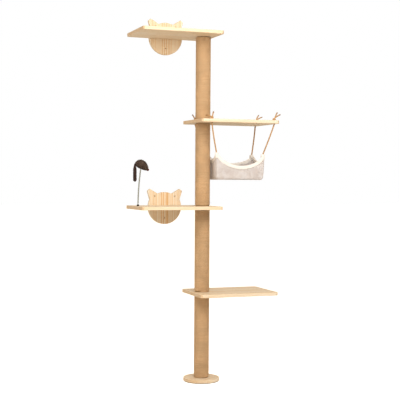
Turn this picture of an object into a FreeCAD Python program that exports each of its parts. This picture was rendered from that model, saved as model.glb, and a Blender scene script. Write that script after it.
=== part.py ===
import FreeCAD, Part

import math
import os

V = FreeCAD.Vector

# A floor-to-wall cat tree: one column of four sisal posts on a round foot, with four
# pine boards clamped between and on top of them. Two boards carry a cat-head plate that
# screws to the wall. A cloth hammock hangs under the third board on four ropes, and a
# mouse on a coil spring stands on the second.
#
# The origin is on the column's axis at floor level. +Z is up, +Y points to the wall,
# and the first and third boards reach towards +X. All sizes are in millimetres.

# Column
post_diameter = 73.0
post_length = 400.0
sisal_diameter = 5.0
tube_wall = 5.0
plug_length = 30.0
base_diameter = 175.0
base_thickness = 16.0
pad_thickness = 2.0
pad_inset = 3.0
disc_edge_round = 2.5

# Boards
board_count = 4
board_length = 400.0
board_depth = 280.0
board_thickness = 16.0
board_corner_radius = 14.0
board_edge_round = 2.0
post_inset = 55.0

# Stud, threaded inserts and end bolts that clamp the column
stud_diameter = 10.0
stud_grip = 24.0
stud_hole_clearance = 0.5
insert_diameter = 12.5
insert_flange_diameter = 24.0
insert_flange_thickness = 1.6
bolt_head_diameter = 20.0
bolt_head_height = 5.5

# Cat-head wall plates
plate_levels = (2, 4)
plate_diameter = 170.0
plate_thickness = 16.0
plate_edge_round = 1.5
ear_tip_x = 77.0
ear_tip_height = 89.0
ear_outer_x = 89.5
ear_outer_height = 78.0
ear_notch_x = 36.0
ear_notch_height = 64.5
ear_pinch_angle = 25.0
head_crown_height = 72.5
ear_tip_radius = 5.0
ear_root_radius = 5.0
wall_screw_spacing = 105.0
wall_screw_height = 52.5
wall_screw_low = 54.0
wall_screw_hole_diameter = 5.0
wall_screw_sink_diameter = 9.0
plate_screw_spacing = 80.0
plate_screw_diameter = 4.5
plate_screw_length = 46.0
plate_screw_head_diameter = 9.0

# Hammock: a box of plush cloth with its corners drawn up
hammock_board_index = 3
hammock_post_gap = 4.5
hammock_length = 251.0
hammock_width = 146.0
hammock_height = 120.0
cloth_thickness = 4.0
hammock_corner_radius = 9.0
hammock_bottom_inset = 12.0
hammock_fold_depth = 2.6
cloth_ripple = 0.3
front_rim_sag = 61.0
back_rim_sag = 37.0
end_rim_sag = 24.0
binding_height = 15.0
binding_proud = 1.0
sleeve_wall = 2.0
sleeve_cover = 1.9
sleeve_edge_round = 1.0
sleeve_inset = 5.0

# Hammock ropes
rope_diameter = 6.0
rope_drop = 143.0
rope_hole_diameter = 8.0
rope_hole_post_offset = 3.0
rope_hole_end_inset = 19.0
rope_hole_edge_inset = 25.0
rope_bow = 3.0
rope_bow_share = 0.42
knot_ball_diameter = 12.0
knot_ring_radius = 4.3
knot_bulge = 1.0
loose_end_diameter = 5.0
loose_end_length = 36.0
open_pivot_play = 3.8

# Spring toy on the second board
toy_board_index = 2
toy_end_inset = 22.5
toy_back_offset = 10.0
toy_lean = 13.0
toy_height = 181.0
socket_wall = 1.5
socket_cover = 1.6
socket_screw_diameter = 4.0
socket_screw_length = 11.0
spring_ball_diameter = 7.0
spring_neck_diameter = 3.0
spring_seat_distance = 4.6
spring_seat_thickness = 1.5
spring_diameter = 7.0
spring_wire = 1.5
spring_curls = 56
mouse_size = 39.0
mouse_length = 59.0
belly_mouth_radius = 6.5
belly_mouth_depth = 5.0
nose_diameter = 11.0
eye_diameter = 3.6
tail_fleece_diameter = 14.4
tail_fleece_length = 84.0
tail_neck_diameter = 6.0

# Clearances
fit_clearance = 0.1
thread_clearance = 0.05
seat_gap = 0.3

post_radius = post_diameter / 2
tube_radius = post_radius - sisal_diameter
tube_bore = tube_radius - tube_wall
rope_radius = rope_diameter / 2
ball_radius = knot_ball_diameter / 2
pocket_radius = ball_radius + seat_gap
spring_ball_radius = spring_ball_diameter / 2
spring_pocket_radius = spring_ball_radius + seat_gap

parts = {}


def post_foot(level):
    """Height of the lower end of a post, counted from 1 at the floor."""
    return pad_thickness + base_thickness + (level - 1) * (post_length + board_thickness)


def board_foot(level):
    """Height of a board's underside."""
    return post_foot(level) + post_length


def board_side(level):
    """+1 for a board that reaches towards +X, -1 for one that reaches towards -X."""
    return 1 if level % 2 else -1


def board_middle_x(level):
    """Middle of a board along X."""
    return board_side(level) * (board_length / 2 - post_inset)


def rod(radius, bottom, height, x=0.0, y=0.0):
    """Upright cylinder."""
    return Part.makeCylinder(radius, height, V(x, y, bottom))


def ring(outer, inner, bottom, height):
    """Upright sleeve on the column's axis."""
    return rod(outer, bottom, height).cut(rod(inner, bottom, height))


def flat_edges(solid, *heights):
    """Edges of a solid that lie at one of the given heights."""
    found = []
    for edge in solid.Edges:
        box = edge.BoundBox
        for height in heights:
            if abs(box.ZMin - height) < 1e-6 and abs(box.ZMax - height) < 1e-6:
                found.append(edge)
    return found


def upright_edges(solid):
    """Straight vertical edges of a solid."""
    return [edge for edge in solid.Edges if edge.BoundBox.XLength + edge.BoundBox.YLength < 1e-6]


def arc_by_corner(start, corner, end):
    """Arc tangent to start-corner and corner-end, where both legs are equally long."""
    chord_middle = (start + end) * 0.5
    to_middle = chord_middle - corner
    leg = (start - corner).Length
    half_chord = (end - start).Length / 2
    if to_middle.Length < 1e-9:
        return Part.LineSegment(start, end).toShape()
    radius = leg * half_chord / to_middle.Length
    centre_distance = leg * leg / to_middle.Length
    middle = corner + to_middle.normalize() * (centre_distance - radius)
    return Part.Arc(start, middle, end).toShape()


def biarc(start, start_way, end, end_way):
    """Two tangent arcs from start to end with the given unit directions."""
    gap = end - start
    turn = start_way + end_way
    slack = 2 * (1 - start_way.dot(end_way))
    along = gap.dot(turn)
    if slack < 1e-9:
        leg = gap.dot(gap) / (2 * along)
    else:
        leg = (math.sqrt(along * along + slack * gap.dot(gap)) - along) / slack
    first_corner = start + start_way * leg
    last_corner = end - end_way * leg
    joint = (first_corner + last_corner) * 0.5
    return [arc_by_corner(start, first_corner, joint), arc_by_corner(joint, last_corner, end)]


def tube_along(edges, radius):
    """Round tube swept along a chain of tangent edges."""
    path = Part.Wire(edges)
    start = path.Edges[0]
    first = start.FirstParameter
    section = Part.Wire(Part.Circle(start.valueAt(first), start.tangentAt(first), radius).toShape())
    return path.makePipeShell([section], True, False)


def rounded_route(points, label):
    """Straight runs joined by tangent arcs, each as large as its runs allow."""
    edges = []
    start = points[0]
    for before, corner, after in zip(points, points[1:], points[2:]):
        way_in = (corner - before).normalize()
        way_out = (after - corner).normalize()
        leg = 0.45 * min((corner - before).Length, (after - corner).Length)
        half_turn = way_in.getAngle(way_out) / 2
        arc_start = corner - way_in * leg
        arc_end = corner + way_out * leg
        edges.append(Part.LineSegment(start, arc_start).toShape())
        edges.append(arc_by_corner(arc_start, corner, arc_end))
        print(label, "radius", round(leg / math.tan(half_turn), 1))
        start = arc_end
    edges.append(Part.LineSegment(start, points[-1]).toShape())
    return edges


def floor_pad():
    """Thin rubber disc glued under the foot."""
    return rod(base_diameter / 2 - pad_inset, 0, pad_thickness)


def base_disc():
    """Round pine foot with a countersunk hole for the lowest bolt."""
    bottom = pad_thickness
    disc = rod(base_diameter / 2, bottom, base_thickness)
    disc = disc.makeFillet(disc_edge_round, flat_edges(disc, bottom, bottom + base_thickness))
    return disc.cut(countersunk_bolt(bottom, base_thickness, stud_hole_clearance))


def countersunk_bolt(bottom, length, clearance=0.0):
    """Flat-headed bolt that points up, or the hole that it needs."""
    head_radius = bolt_head_diameter / 2 + clearance
    shank_radius = stud_diameter / 2 + clearance
    head = Part.makeCone(head_radius, shank_radius, bolt_head_height, V(0, 0, bottom))
    return head.fuse(rod(shank_radius, bottom, length))


def turned_over(shape, height):
    """The same shape upside down, mirrored in the plane at this height."""
    return shape.mirror(V(0, 0, height), V(0, 0, 1))


def end_bolts():
    """The bolt through the foot and the one through the top board."""
    foot_bolt = countersunk_bolt(pad_thickness, base_thickness + stud_grip)
    board_top = board_foot(board_count) + board_thickness
    top_bolt = countersunk_bolt(0, board_thickness + stud_grip)
    top_bolt = turned_over(top_bolt, board_top / 2)
    return Part.makeCompound([foot_bolt, top_bolt])


def joining_studs():
    """Double-ended studs that draw two posts together through the board between them."""
    studs = []
    for level in range(1, board_count):
        bottom = board_foot(level) - stud_grip
        studs.append(rod(stud_diameter / 2, bottom, board_thickness + 2 * stud_grip))
    return Part.makeCompound(studs)


def post_tube(level):
    """Paper tube, the core of a post."""
    return ring(tube_radius, tube_bore, post_foot(level), post_length)


def sisal_wrap(level):
    """Sisal cord wound and glued round the tube, close laid from end to end."""
    return ring(post_radius, tube_radius + fit_clearance, post_foot(level), post_length)


def end_plug(level, upper):
    """Wooden plug in one end of a tube, bored for its threaded insert."""
    bottom = post_foot(level)
    plug = rod(tube_bore - fit_clearance, bottom, plug_length)
    plug = plug.cut(rod(insert_diameter / 2 + fit_clearance, bottom, plug_length))
    return turned_over(plug, bottom + post_length / 2) if upper else plug


def plug_insert(level, upper):
    """Flanged threaded insert, pulled against the inner face of its plug."""
    bottom = post_foot(level)
    barrel = rod(insert_diameter / 2, bottom, plug_length)
    flange = rod(insert_flange_diameter / 2, bottom + plug_length, insert_flange_thickness)
    bore = rod(stud_diameter / 2 + thread_clearance, bottom, plug_length + insert_flange_thickness)
    insert = barrel.fuse(flange).cut(bore)
    return turned_over(insert, bottom + post_length / 2) if upper else insert


def plug_inserts():
    """All the threaded inserts, one in each end of each post."""
    inserts = []
    for level in range(1, board_count + 1):
        inserts.append(plug_insert(level, False))
        inserts.append(plug_insert(level, True))
    return Part.makeCompound(inserts)


def board(level):
    """Pine board with rounded corners, eased edges and its stud hole."""
    bottom = board_foot(level)
    top = bottom + board_thickness
    corner = V(-post_inset, -board_depth / 2, bottom)
    slab = Part.makeBox(board_length, board_depth, board_thickness, corner)
    slab = slab.makeFillet(board_corner_radius, upright_edges(slab))
    slab = slab.makeFillet(board_edge_round, flat_edges(slab, bottom, top))
    if board_side(level) < 0:
        slab = slab.mirror(V(0, 0, 0), V(1, 0, 0))
    if level == board_count:
        hole = turned_over(countersunk_bolt(0, board_thickness, stud_hole_clearance), top / 2)
    else:
        hole = rod(stud_diameter / 2 + stud_hole_clearance, bottom, board_thickness)
    slab = slab.cut(hole)
    if level in plate_levels:
        slab = slab.cut(plate_screws(level, fit_clearance))
    if level == hammock_board_index:
        for name in corner_names():
            x, y = rope_hole(name)
            slab = slab.cut(rod(rope_hole_diameter / 2, bottom, board_thickness, x, y))
    if level == toy_board_index:
        slab = slab.cut(socket_screw(fit_clearance))
    return slab


def plate_centre(level):
    """Middle of a plate's disc, on the board's back edge at half its thickness."""
    height = board_foot(level) + board_thickness / 2
    return V(board_middle_x(level), board_depth / 2, height)


def ear_pinch(side):
    """Where the outer edge of an ear runs into the disc."""
    pinch = math.radians(ear_pinch_angle)
    radius = plate_diameter / 2
    return V(side * radius * math.cos(pinch), 0, radius * math.sin(pinch))


def ear(side):
    """One ear of the cat head, seen from the front, with its feet inside the disc."""
    points = [
        V(side * ear_notch_x, 0, ear_notch_height),
        V(side * ear_tip_x, 0, ear_tip_height),
        V(side * ear_outer_x, 0, ear_outer_height),
        ear_pinch(side),
        V(0, 0, 0),
    ]
    outline = Part.makePolygon(points + points[:1])
    return Part.Face(outline).extrude(V(0, plate_thickness, 0))


def plate_blank():
    """Cat-head outline: a disc with a flatter crown between two ears."""
    radius = plate_diameter / 2
    depth = V(0, plate_thickness, 0)
    disc = Part.Face(Part.Wire(Part.Circle(V(0, 0, 0), V(0, 1, 0), radius).toShape()))
    blank = disc.extrude(depth)
    left = V(-radius, 0, ear_notch_height)
    right = V(radius, 0, ear_notch_height)
    notch_left = V(-ear_notch_x, 0, ear_notch_height)
    notch_right = V(ear_notch_x, 0, ear_notch_height)
    crown = Part.Arc(notch_left, V(0, 0, head_crown_height), notch_right).toShape()
    over_left = V(-radius, 0, 2 * radius)
    over_right = V(radius, 0, 2 * radius)
    above = Part.Wire([
        Part.LineSegment(left, notch_left).toShape(),
        crown,
        Part.LineSegment(notch_right, right).toShape(),
        Part.LineSegment(right, over_right).toShape(),
        Part.LineSegment(over_right, over_left).toShape(),
        Part.LineSegment(over_left, left).toShape(),
    ])
    blank = blank.cut(Part.Face(above).extrude(depth))
    blank = blank.fuse([ear(-1), ear(1)]).removeSplitter()
    return blank


def cross_edges(solid, near, reach):
    """Edges that run through the plate's thickness close to a point of its outline."""
    found = []
    for edge in solid.Edges:
        box = edge.BoundBox
        through = box.XLength + box.ZLength < 1e-6
        if through and (V(box.XMin, 0, box.ZMin) - near).Length < reach:
            found.append(edge)
    return found


def cat_head_plate(level):
    """Wall plate with its screw holes, on the back edge of its board."""
    plate = plate_blank()
    for side in (-1, 1):
        for x, z in ((ear_tip_x, ear_tip_height), (ear_outer_x, ear_outer_height)):
            tips = cross_edges(plate, V(side * x, 0, z), seat_gap)
            plate = plate.makeFillet(ear_tip_radius, tips)
        roots = cross_edges(plate, V(side * ear_notch_x, 0, ear_notch_height), seat_gap)
        roots += cross_edges(plate, ear_pinch(side), seat_gap)
        plate = plate.makeFillet(ear_root_radius, roots)
    outline = [edge for edge in plate.Edges if edge.BoundBox.YLength < 1e-6]
    plate = plate.makeChamfer(plate_edge_round, outline)
    for x, z in wall_screw_places():
        plate = plate.cut(wall_screw_hole(x, z))
    plate.translate(plate_centre(level))
    return plate.cut(plate_screws(level, fit_clearance))


def wall_screw_places():
    """Where the three wall screws of a plate go, from the middle of its disc."""
    half = wall_screw_spacing / 2
    return ((-half, wall_screw_height), (half, wall_screw_height), (0, -wall_screw_low))


def wall_screw_hole(x, z):
    """Through hole with a countersink on the room side."""
    hole_radius = wall_screw_hole_diameter / 2
    sink_radius = wall_screw_sink_diameter / 2
    hole = Part.makeCylinder(hole_radius, plate_thickness, V(x, 0, z), V(0, 1, 0))
    sink = Part.makeCone(sink_radius, hole_radius, sink_radius - hole_radius, V(x, 0, z), V(0, 1, 0))
    return hole.fuse(sink)


def plate_screws(level, clearance=0.0):
    """The two wood screws that hold a plate to its board, or the holes that they need."""
    screws = []
    centre = plate_centre(level)
    head_radius = plate_screw_head_diameter / 2 + clearance
    shank_radius = plate_screw_diameter / 2 + clearance
    head_height = (plate_screw_head_diameter - plate_screw_diameter) / 2
    for side in (-1, 1):
        head_middle = centre + V(side * plate_screw_spacing / 2, plate_thickness, 0)
        head = Part.makeCone(head_radius, shank_radius, head_height, head_middle, V(0, -1, 0))
        shank = Part.makeCylinder(shank_radius, plate_screw_length + clearance, head_middle, V(0, -1, 0))
        screws.append(head.fuse(shank))
    return Part.makeCompound(screws)


def corner_names():
    """The hammock's corners."""
    return ("front_left", "front_right", "back_left", "back_right")


def corner_signs(name):
    """-1 or +1 along X and along Y for a corner."""
    return (1 if name.endswith("right") else -1), (1 if name.startswith("back") else -1)


def rope_hole(name):
    """Where a rope passes through the third board."""
    across, deep = corner_signs(name)
    far = board_length - post_inset - rope_hole_end_inset
    x = far if across > 0 else rope_hole_post_offset
    return x, deep * (board_depth / 2 - rope_hole_edge_inset)


def rope_top(name):
    """Centre of the rounded upper end of a rope, where it turns at the board's underside."""
    x, y = rope_hole(name)
    return V(x, y, board_foot(hammock_board_index) - rope_radius - seat_gap)


def rope_foot(name):
    """Centre of the knot in a corner sleeve, where the hammock turns on its rope."""
    across, deep = corner_signs(name)
    x = hammock_middle_x() + across * (hammock_length / 2 - sleeve_inset)
    y = deep * (hammock_width / 2 - sleeve_inset)
    return V(x, y, board_foot(hammock_board_index) - rope_drop)


def hammock_middle_x():
    """Middle of the hammock along X: it starts just clear of the post."""
    return post_radius + hammock_post_gap + hammock_length / 2


def rim_height():
    """Height of the cloth's four corners, under the sleeves."""
    return board_foot(hammock_board_index) - rope_drop - pocket_radius - sleeve_wall


def cloth_section(height, inset, fold, thickness):
    """Closed outline of the cloth at one height: four wavy sides and four round corners."""
    half_length = hammock_length / 2 - inset - thickness
    half_width = hammock_width / 2 - inset - thickness
    radius = hammock_corner_radius + inset - thickness
    edges = []
    start_x = half_length - radius
    start_y = half_width - radius
    sides = (
        (V(-start_x, -half_width, 0), V(start_x, -half_width, 0), V(0, -1, 0), 5),
        (V(half_length, -start_y, 0), V(half_length, start_y, 0), V(1, 0, 0), 3),
        (V(start_x, half_width, 0), V(-start_x, half_width, 0), V(0, 1, 0), 5),
        (V(-half_length, start_y, 0), V(-half_length, -start_y, 0), V(-1, 0, 0), 3),
    )
    corners = (V(start_x, -start_y, 0), V(start_x, start_y, 0),
               V(-start_x, start_y, 0), V(-start_x, -start_y, 0))
    lift = V(hammock_middle_x(), 0, height)
    for (start, end, out, waves), corner, following in zip(sides, corners, sides[1:] + sides[:1]):
        step = (end - start) * (1 / waves)
        for wave in range(waves):
            first = start + step * wave
            last = first + step
            bulge = -fold if wave % 2 else fold
            middle = (first + last) * 0.5 + out * bulge
            edges.append(Part.Arc(first + lift, middle + lift, last + lift).toShape())
        outward = (out + following[2]).normalize()
        middle = corner + outward * radius
        edges.append(Part.Arc(end + lift, middle + lift, following[0] + lift).toShape())
    return Part.Wire(edges)


def cloth_body(thickness):
    """Solid inside the cloth's outer face, drawn in by a thickness."""
    top = rim_height()
    bottom = top - hammock_height
    levels = (
        (0.0, hammock_bottom_inset, cloth_ripple),
        (0.07, hammock_bottom_inset * 0.45, cloth_ripple),
        (0.3, hammock_bottom_inset * 0.15, hammock_fold_depth),
        (0.65, 0.0, hammock_fold_depth),
        (1.0, 0.0, cloth_ripple),
    )
    sections = []
    for share, inset, fold in levels:
        height = bottom + thickness + share * (hammock_height - thickness)
        sections.append(cloth_section(height, inset, fold, thickness))
    return Part.makeLoft(sections, True, False)


def above_rim(drop):
    """Space over the rim, which sags between the corners, lowered by a drop."""
    top = rim_height() - drop
    over = hammock_height
    reach = hammock_width
    middle = hammock_middle_x()
    half_length = hammock_length / 2 - hammock_corner_radius
    half_width = hammock_width / 2 - hammock_corner_radius
    slab_corner = V(middle - hammock_length, -hammock_width, top)
    space = Part.makeBox(2 * hammock_length, 2 * hammock_width, over, slab_corner)
    band = 3 * hammock_corner_radius
    for deep, sag in ((-1, front_rim_sag), (1, back_rim_sag)):
        face = sag_face(V(middle - half_length, 0, top), V(middle + half_length, 0, top), sag)
        prism = face.extrude(V(0, deep * reach, 0))
        prism.translate(V(0, deep * (hammock_width / 2 - band), 0))
        space = space.fuse(prism)
    for across in (-1, 1):
        face = sag_face(V(0, -half_width, top), V(0, half_width, top), end_rim_sag)
        prism = face.extrude(V(across * reach, 0, 0))
        prism.translate(V(middle + across * (hammock_length / 2 - band), 0, 0))
        space = space.fuse(prism)
    return space


def sag_face(start, end, sag):
    """Face between a chord and the arc that hangs below it."""
    lowest = (start + end) * 0.5 - V(0, 0, sag)
    arc = Part.Arc(start, lowest, end).toShape()
    return Part.Face(Part.Wire([arc, Part.LineSegment(end, start).toShape()]))


def cloth_shell():
    """The hammock's cloth all round, up to its binding."""
    shell = cloth_body(0.0).cut(cloth_body(cloth_thickness))
    return shell.cut(above_rim(binding_height))


def floor_top():
    """Height of the floor panel's upper face, where the walls are sewn on."""
    return rim_height() - hammock_height + cloth_thickness


def hammock_floor(shell):
    """Bottom panel of the hammock."""
    corner = V(hammock_middle_x() - hammock_length, -hammock_width, floor_top() - cloth_thickness)
    return shell.common(Part.makeBox(2 * hammock_length, 2 * hammock_width, cloth_thickness, corner))


def wall_plans():
    """Plan of the space over each wall panel: the seams between them run in from the corners."""
    middle = hammock_middle_x()
    ridge = (hammock_length - hammock_width) / 2
    reach_x = hammock_length / 2 + hammock_corner_radius
    reach_y = hammock_width / 2 + hammock_corner_radius
    left = V(middle - ridge, 0, floor_top())
    right = V(middle + ridge, 0, floor_top())
    front_left = V(middle - reach_x, -reach_y, floor_top())
    front_right = V(middle + reach_x, -reach_y, floor_top())
    back_left = V(middle - reach_x, reach_y, floor_top())
    back_right = V(middle + reach_x, reach_y, floor_top())
    return {
        "front": [left, front_left, front_right, right],
        "back": [right, back_right, back_left, left],
        "end_left": [left, back_left, front_left],
        "end_right": [right, front_right, back_right],
    }


def hammock_wall(shell, plan):
    """One side panel of the hammock, cut out of the shell along its seams."""
    space = Part.Face(Part.makePolygon(plan + plan[:1])).extrude(V(0, 0, hammock_height))
    return shell.common(space)


def hammock_binding():
    """Doubled band sewn round the rim, a little thicker than the cloth."""
    shell = cloth_body(-binding_proud).cut(cloth_body(cloth_thickness + binding_proud))
    return shell.common(above_rim(binding_height)).cut(above_rim(0.0))


def corner_sleeve(name):
    """Sewn sleeve on a corner, with the pocket that its rope's knot sits in."""
    centre = rope_foot(name)
    play = open_pivot_play if name.startswith("back") else 0.0
    outer = pocket_radius + sleeve_wall
    bottom = rim_height()
    height = outer + sleeve_cover
    block = slot_block(outer, play, centre, bottom, height)
    block = block.makeFillet(sleeve_edge_round, flat_edges(block, bottom + height))
    pocket = Part.makeSphere(pocket_radius, centre + V(0, -play, 0))
    if play:
        pocket = pocket.fuse(Part.makeSphere(pocket_radius, centre + V(0, play, 0)))
        run = Part.makeCylinder(pocket_radius, 2 * play, centre + V(0, -play, 0), V(0, 1, 0))
        pocket = pocket.fuse(run)
    return block.cut(pocket)


def slot_block(radius, play, centre, bottom, height):
    """Upright block with round ends, longer along Y by the play."""
    block = rod(radius, bottom, height, centre.x, centre.y - play)
    if play:
        block = block.fuse(rod(radius, bottom, height, centre.x, centre.y + play))
        corner = V(centre.x - radius, centre.y - play, bottom)
        block = block.fuse(Part.makeBox(2 * radius, 2 * play, height, corner))
        block = block.removeSplitter()
    return block


def hammock_rope(name):
    """The rope from the board down to a corner, pulled tight by the hammock's weight."""
    across = corner_signs(name)[0]
    top = rope_top(name)
    foot = rope_foot(name)
    bend = top + (foot - top) * rope_bow_share + V(across * rope_bow, 0, 0)
    edges = rounded_route([top, bend, foot], "rope " + name)
    tube = tube_along(edges, rope_radius)
    length = sum(edge.Length for edge in edges)
    share = tube.Volume / (math.pi * rope_radius ** 2 * length)
    print("rope", name, "length", round(length, 1), "volume share", round(share, 4))
    rope = tube.fuse(Part.makeSphere(rope_radius, top))
    return rope.fuse(Part.makeSphere(ball_radius, foot))


def loose_ends(name):
    """Tips of the two loose rope ends over their hole, in shares of their length."""
    tips = {
        "front_left": (V(-0.61, -0.17, 0.64), V(0.33, -0.11, 0.92)),
        "front_right": (V(0.33, -0.14, 0.97), V(0.75, 0.08, 0.72)),
        "back_left": (V(-0.50, 0.14, 0.67), V(0.25, 0.25, 0.83)),
        "back_right": (V(0.22, -0.11, 0.78), V(0.67, 0.14, 0.44)),
    }
    return [tip * loose_end_length for tip in tips[name]]


def rope_knot(name):
    """Knot on top of the board, with its stub through the hole and two loose ends."""
    x, y = rope_hole(name)
    bottom = board_foot(hammock_board_index)
    top = bottom + board_thickness
    turn_height = top + rope_radius + fit_clearance
    rise = knot_ring_radius + rope_radius
    knot = rod(rope_radius, bottom, turn_height + rise - bottom, x, y)
    knot = knot.fuse(Part.makeTorus(knot_ring_radius, rope_radius, V(x, y, turn_height)))
    upper = V(x, y, turn_height + rise)
    for tip in loose_ends(name):
        end = V(x, y, top) + tip
        way = end - upper
        tail = Part.makeCylinder(loose_end_diameter / 2, way.Length, upper, way)
        knot = knot.fuse(tail)
    return knot.fuse(Part.makeSphere(rope_radius + knot_bulge, upper))


def toy_base():
    """Where the toy's socket stands on the second board."""
    side = board_side(toy_board_index)
    x = side * (board_length - post_inset - toy_end_inset)
    return V(x, toy_back_offset, board_foot(toy_board_index) + board_thickness)


def toy_pivot():
    """Centre of the spring's lower ball, where the toy rocks in its socket."""
    return toy_base() + V(0, 0, socket_wall + spring_pocket_radius)


def toy_top():
    """Centre of the spring's upper ball, in the mouse's belly."""
    return toy_base() + V(toy_lean, 0, toy_height)


def toy_way():
    """Direction of the spring's axis."""
    return (toy_top() - toy_pivot()).normalize()


def socket_screw(clearance=0.0):
    """Screw shank of the socket, or its pilot hole."""
    base = toy_base()
    length = socket_screw_length + clearance
    return rod(socket_screw_diameter / 2 + clearance, base.z - length, length, base.x, base.y)


def toy_socket():
    """Turned socket screwed into the board, closed over the ball's middle."""
    base = toy_base()
    radius = spring_pocket_radius + socket_wall
    height = socket_wall + spring_pocket_radius + socket_cover
    cup = rod(radius, base.z, height, base.x, base.y)
    cup = cup.makeChamfer(socket_wall / 3, flat_edges(cup, base.z + height))
    cup = cup.cut(Part.makeSphere(spring_pocket_radius, toy_pivot()))
    return cup.fuse(socket_screw())


def spring_end(ball, way):
    """Ball, neck and seat that close one end of the spring."""
    seat_radius = spring_diameter / 2
    seat = Part.makeCylinder(seat_radius, spring_seat_thickness, ball + way * spring_seat_distance, way)
    neck = Part.makeCylinder(spring_neck_diameter / 2, spring_seat_distance, ball, way)
    return Part.makeSphere(spring_ball_radius, ball).fuse([neck, seat]).removeSplitter()


def toy_foot():
    """Lower end of the spring, held in the socket."""
    return spring_end(toy_pivot(), toy_way())


def toy_cap():
    """Upper end of the spring, held in the mouse's belly."""
    return spring_end(toy_top(), toy_way() * -1)


def toy_spring():
    """Coil spring, one unbroken wire with straight ends on the foot and the cap."""
    way = toy_way()
    side = V(0, 1, 0)
    other = way.cross(side)
    radius = (spring_diameter - spring_wire) / 2
    end_run = spring_wire
    seat = spring_seat_distance + spring_seat_thickness
    start = toy_pivot() + way * seat
    finish = toy_top() - way * seat
    coil_start = start + way * (2 * end_run)
    coil_length = (finish - start).Length - 4 * end_run
    steps = spring_curls * 2

    def point(step):
        angle = step * math.pi
        across = side * math.cos(angle) + other * math.sin(angle)
        return coil_start + way * (coil_length * step / steps) + across * radius

    def heading(step):
        angle = step * math.pi
        around = other * math.cos(angle) - side * math.sin(angle)
        rise = coil_length / (spring_curls * 2 * math.pi * radius)
        return (around + way * rise).normalize()

    edges = [Part.LineSegment(start + side * radius, start + side * radius + way * end_run).toShape()]
    edges += biarc(start + side * radius + way * end_run, way, point(1), heading(1))
    for step in range(1, steps - 1):
        edges += biarc(point(step), heading(step), point(step + 1), heading(step + 1))
    last = finish + side * radius
    edges += biarc(point(steps - 1), heading(steps - 1), last - way * end_run, way)
    edges.append(Part.LineSegment(last - way * end_run, last).toShape())
    print("spring gap between curls", round(coil_length / spring_curls - spring_wire, 2))
    return tube_along(edges, spring_wire / 2)


def mouse_stations(rows):
    """Places along the mouse's arched spine, from the spring's top ball, and their radii."""
    stations = []
    for across, up, fullness in rows:
        place = V(across, 0, up) * mouse_length
        stations.append((place, fullness * mouse_size / 2))
    return stations


def body_stations():
    """Spine of the body from rump to neck: across, up, fullness."""
    return mouse_stations([
        (-0.432, 0.288, 0.16),
        (-0.381, 0.300, 0.42),
        (-0.271, 0.314, 0.72),
        (-0.102, 0.322, 0.96),
        (0.076, 0.280, 1.00),
        (0.229, 0.175, 0.93),
    ])


def head_stations():
    """Spine of the head from neck to snout: across, up, fullness."""
    return mouse_stations([
        (0.229, 0.175, 0.93),
        (0.364, 0.056, 0.73),
        (0.483, -0.046, 0.48),
        (0.568, -0.117, 0.26),
    ])


def round_section(centre, way, radius):
    """Circle of four arcs, square to a direction in the XZ plane."""
    side = V(0, 1, 0)
    up = side.cross(way).normalize()
    edges = []
    for quarter in range(4):
        angles = [math.radians(45 + 90 * quarter + turn) for turn in (0, 45, 90)]
        points = [centre + (side * math.cos(a) + up * math.sin(a)) * radius for a in angles]
        edges.append(Part.Arc(*points).toShape())
    return Part.Wire(edges)


def swelling(stations, first_way, last_way):
    """Loft through round sections set square to a bent spine."""
    places = [place for place, radius in stations]
    ways = [first_way]
    for before, after in zip(places, places[2:]):
        ways.append((after - before).normalize())
    ways.append(last_way)
    sections = []
    for (place, radius), way in zip(stations, ways):
        sections.append(round_section(toy_top() + place, way, radius))
    return Part.makeLoft(sections, True, False)


def neck_way():
    """Direction of the spine where the head meets the body."""
    return (head_stations()[1][0] - body_stations()[-2][0]).normalize()


def snout_way():
    """Direction of the spine at the snout."""
    head = head_stations()
    return (head[-1][0] - head[-2][0]).normalize()


def mouse_body():
    """Stuffed body, fullest behind the neck, with a pocket in its belly for the spring."""
    body = swelling(body_stations(), V(1, 0, 0.15).normalize(), neck_way())
    body = body.cut(Part.makeSphere(spring_pocket_radius, toy_top()))
    way = toy_way() * -1
    return body.cut(Part.makeCone(0, belly_mouth_radius, belly_mouth_depth, toy_top(), way))


def mouse_head():
    """Stuffed head, tapering from the neck to the snout."""
    return swelling(head_stations(), neck_way(), snout_way())


def mouse_nose():
    """Sewn-on nose over the snout's end."""
    place, radius = head_stations()[-1]
    centre = toy_top() + place + snout_way() * (nose_diameter * 0.18)
    return Part.makeSphere(nose_diameter / 2, centre).cut(mouse_head())


def mouse_eyes():
    """Two bead eyes pressed into the head."""
    place, radius = head_stations()[1]
    up = V(0, 1, 0).cross(neck_way()).normalize()
    eyes = []
    for side in (-1, 1):
        outward = (V(0, side * 1.0, 0) + up * -0.15).normalize()
        centre = toy_top() + place + V(0.1, 0, -0.09) * mouse_size + outward * (radius * 0.86)
        eyes.append(Part.makeSphere(eye_diameter / 2, centre).cut(mouse_head()))
    return Part.makeCompound(eyes)


def tail_pivot():
    """Centre of the tail's rounded top, just clear of the rump."""
    rump = toy_top() + body_stations()[0][0]
    return rump - V(tail_neck_diameter / 2 + seat_gap, 0, 0)


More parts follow.
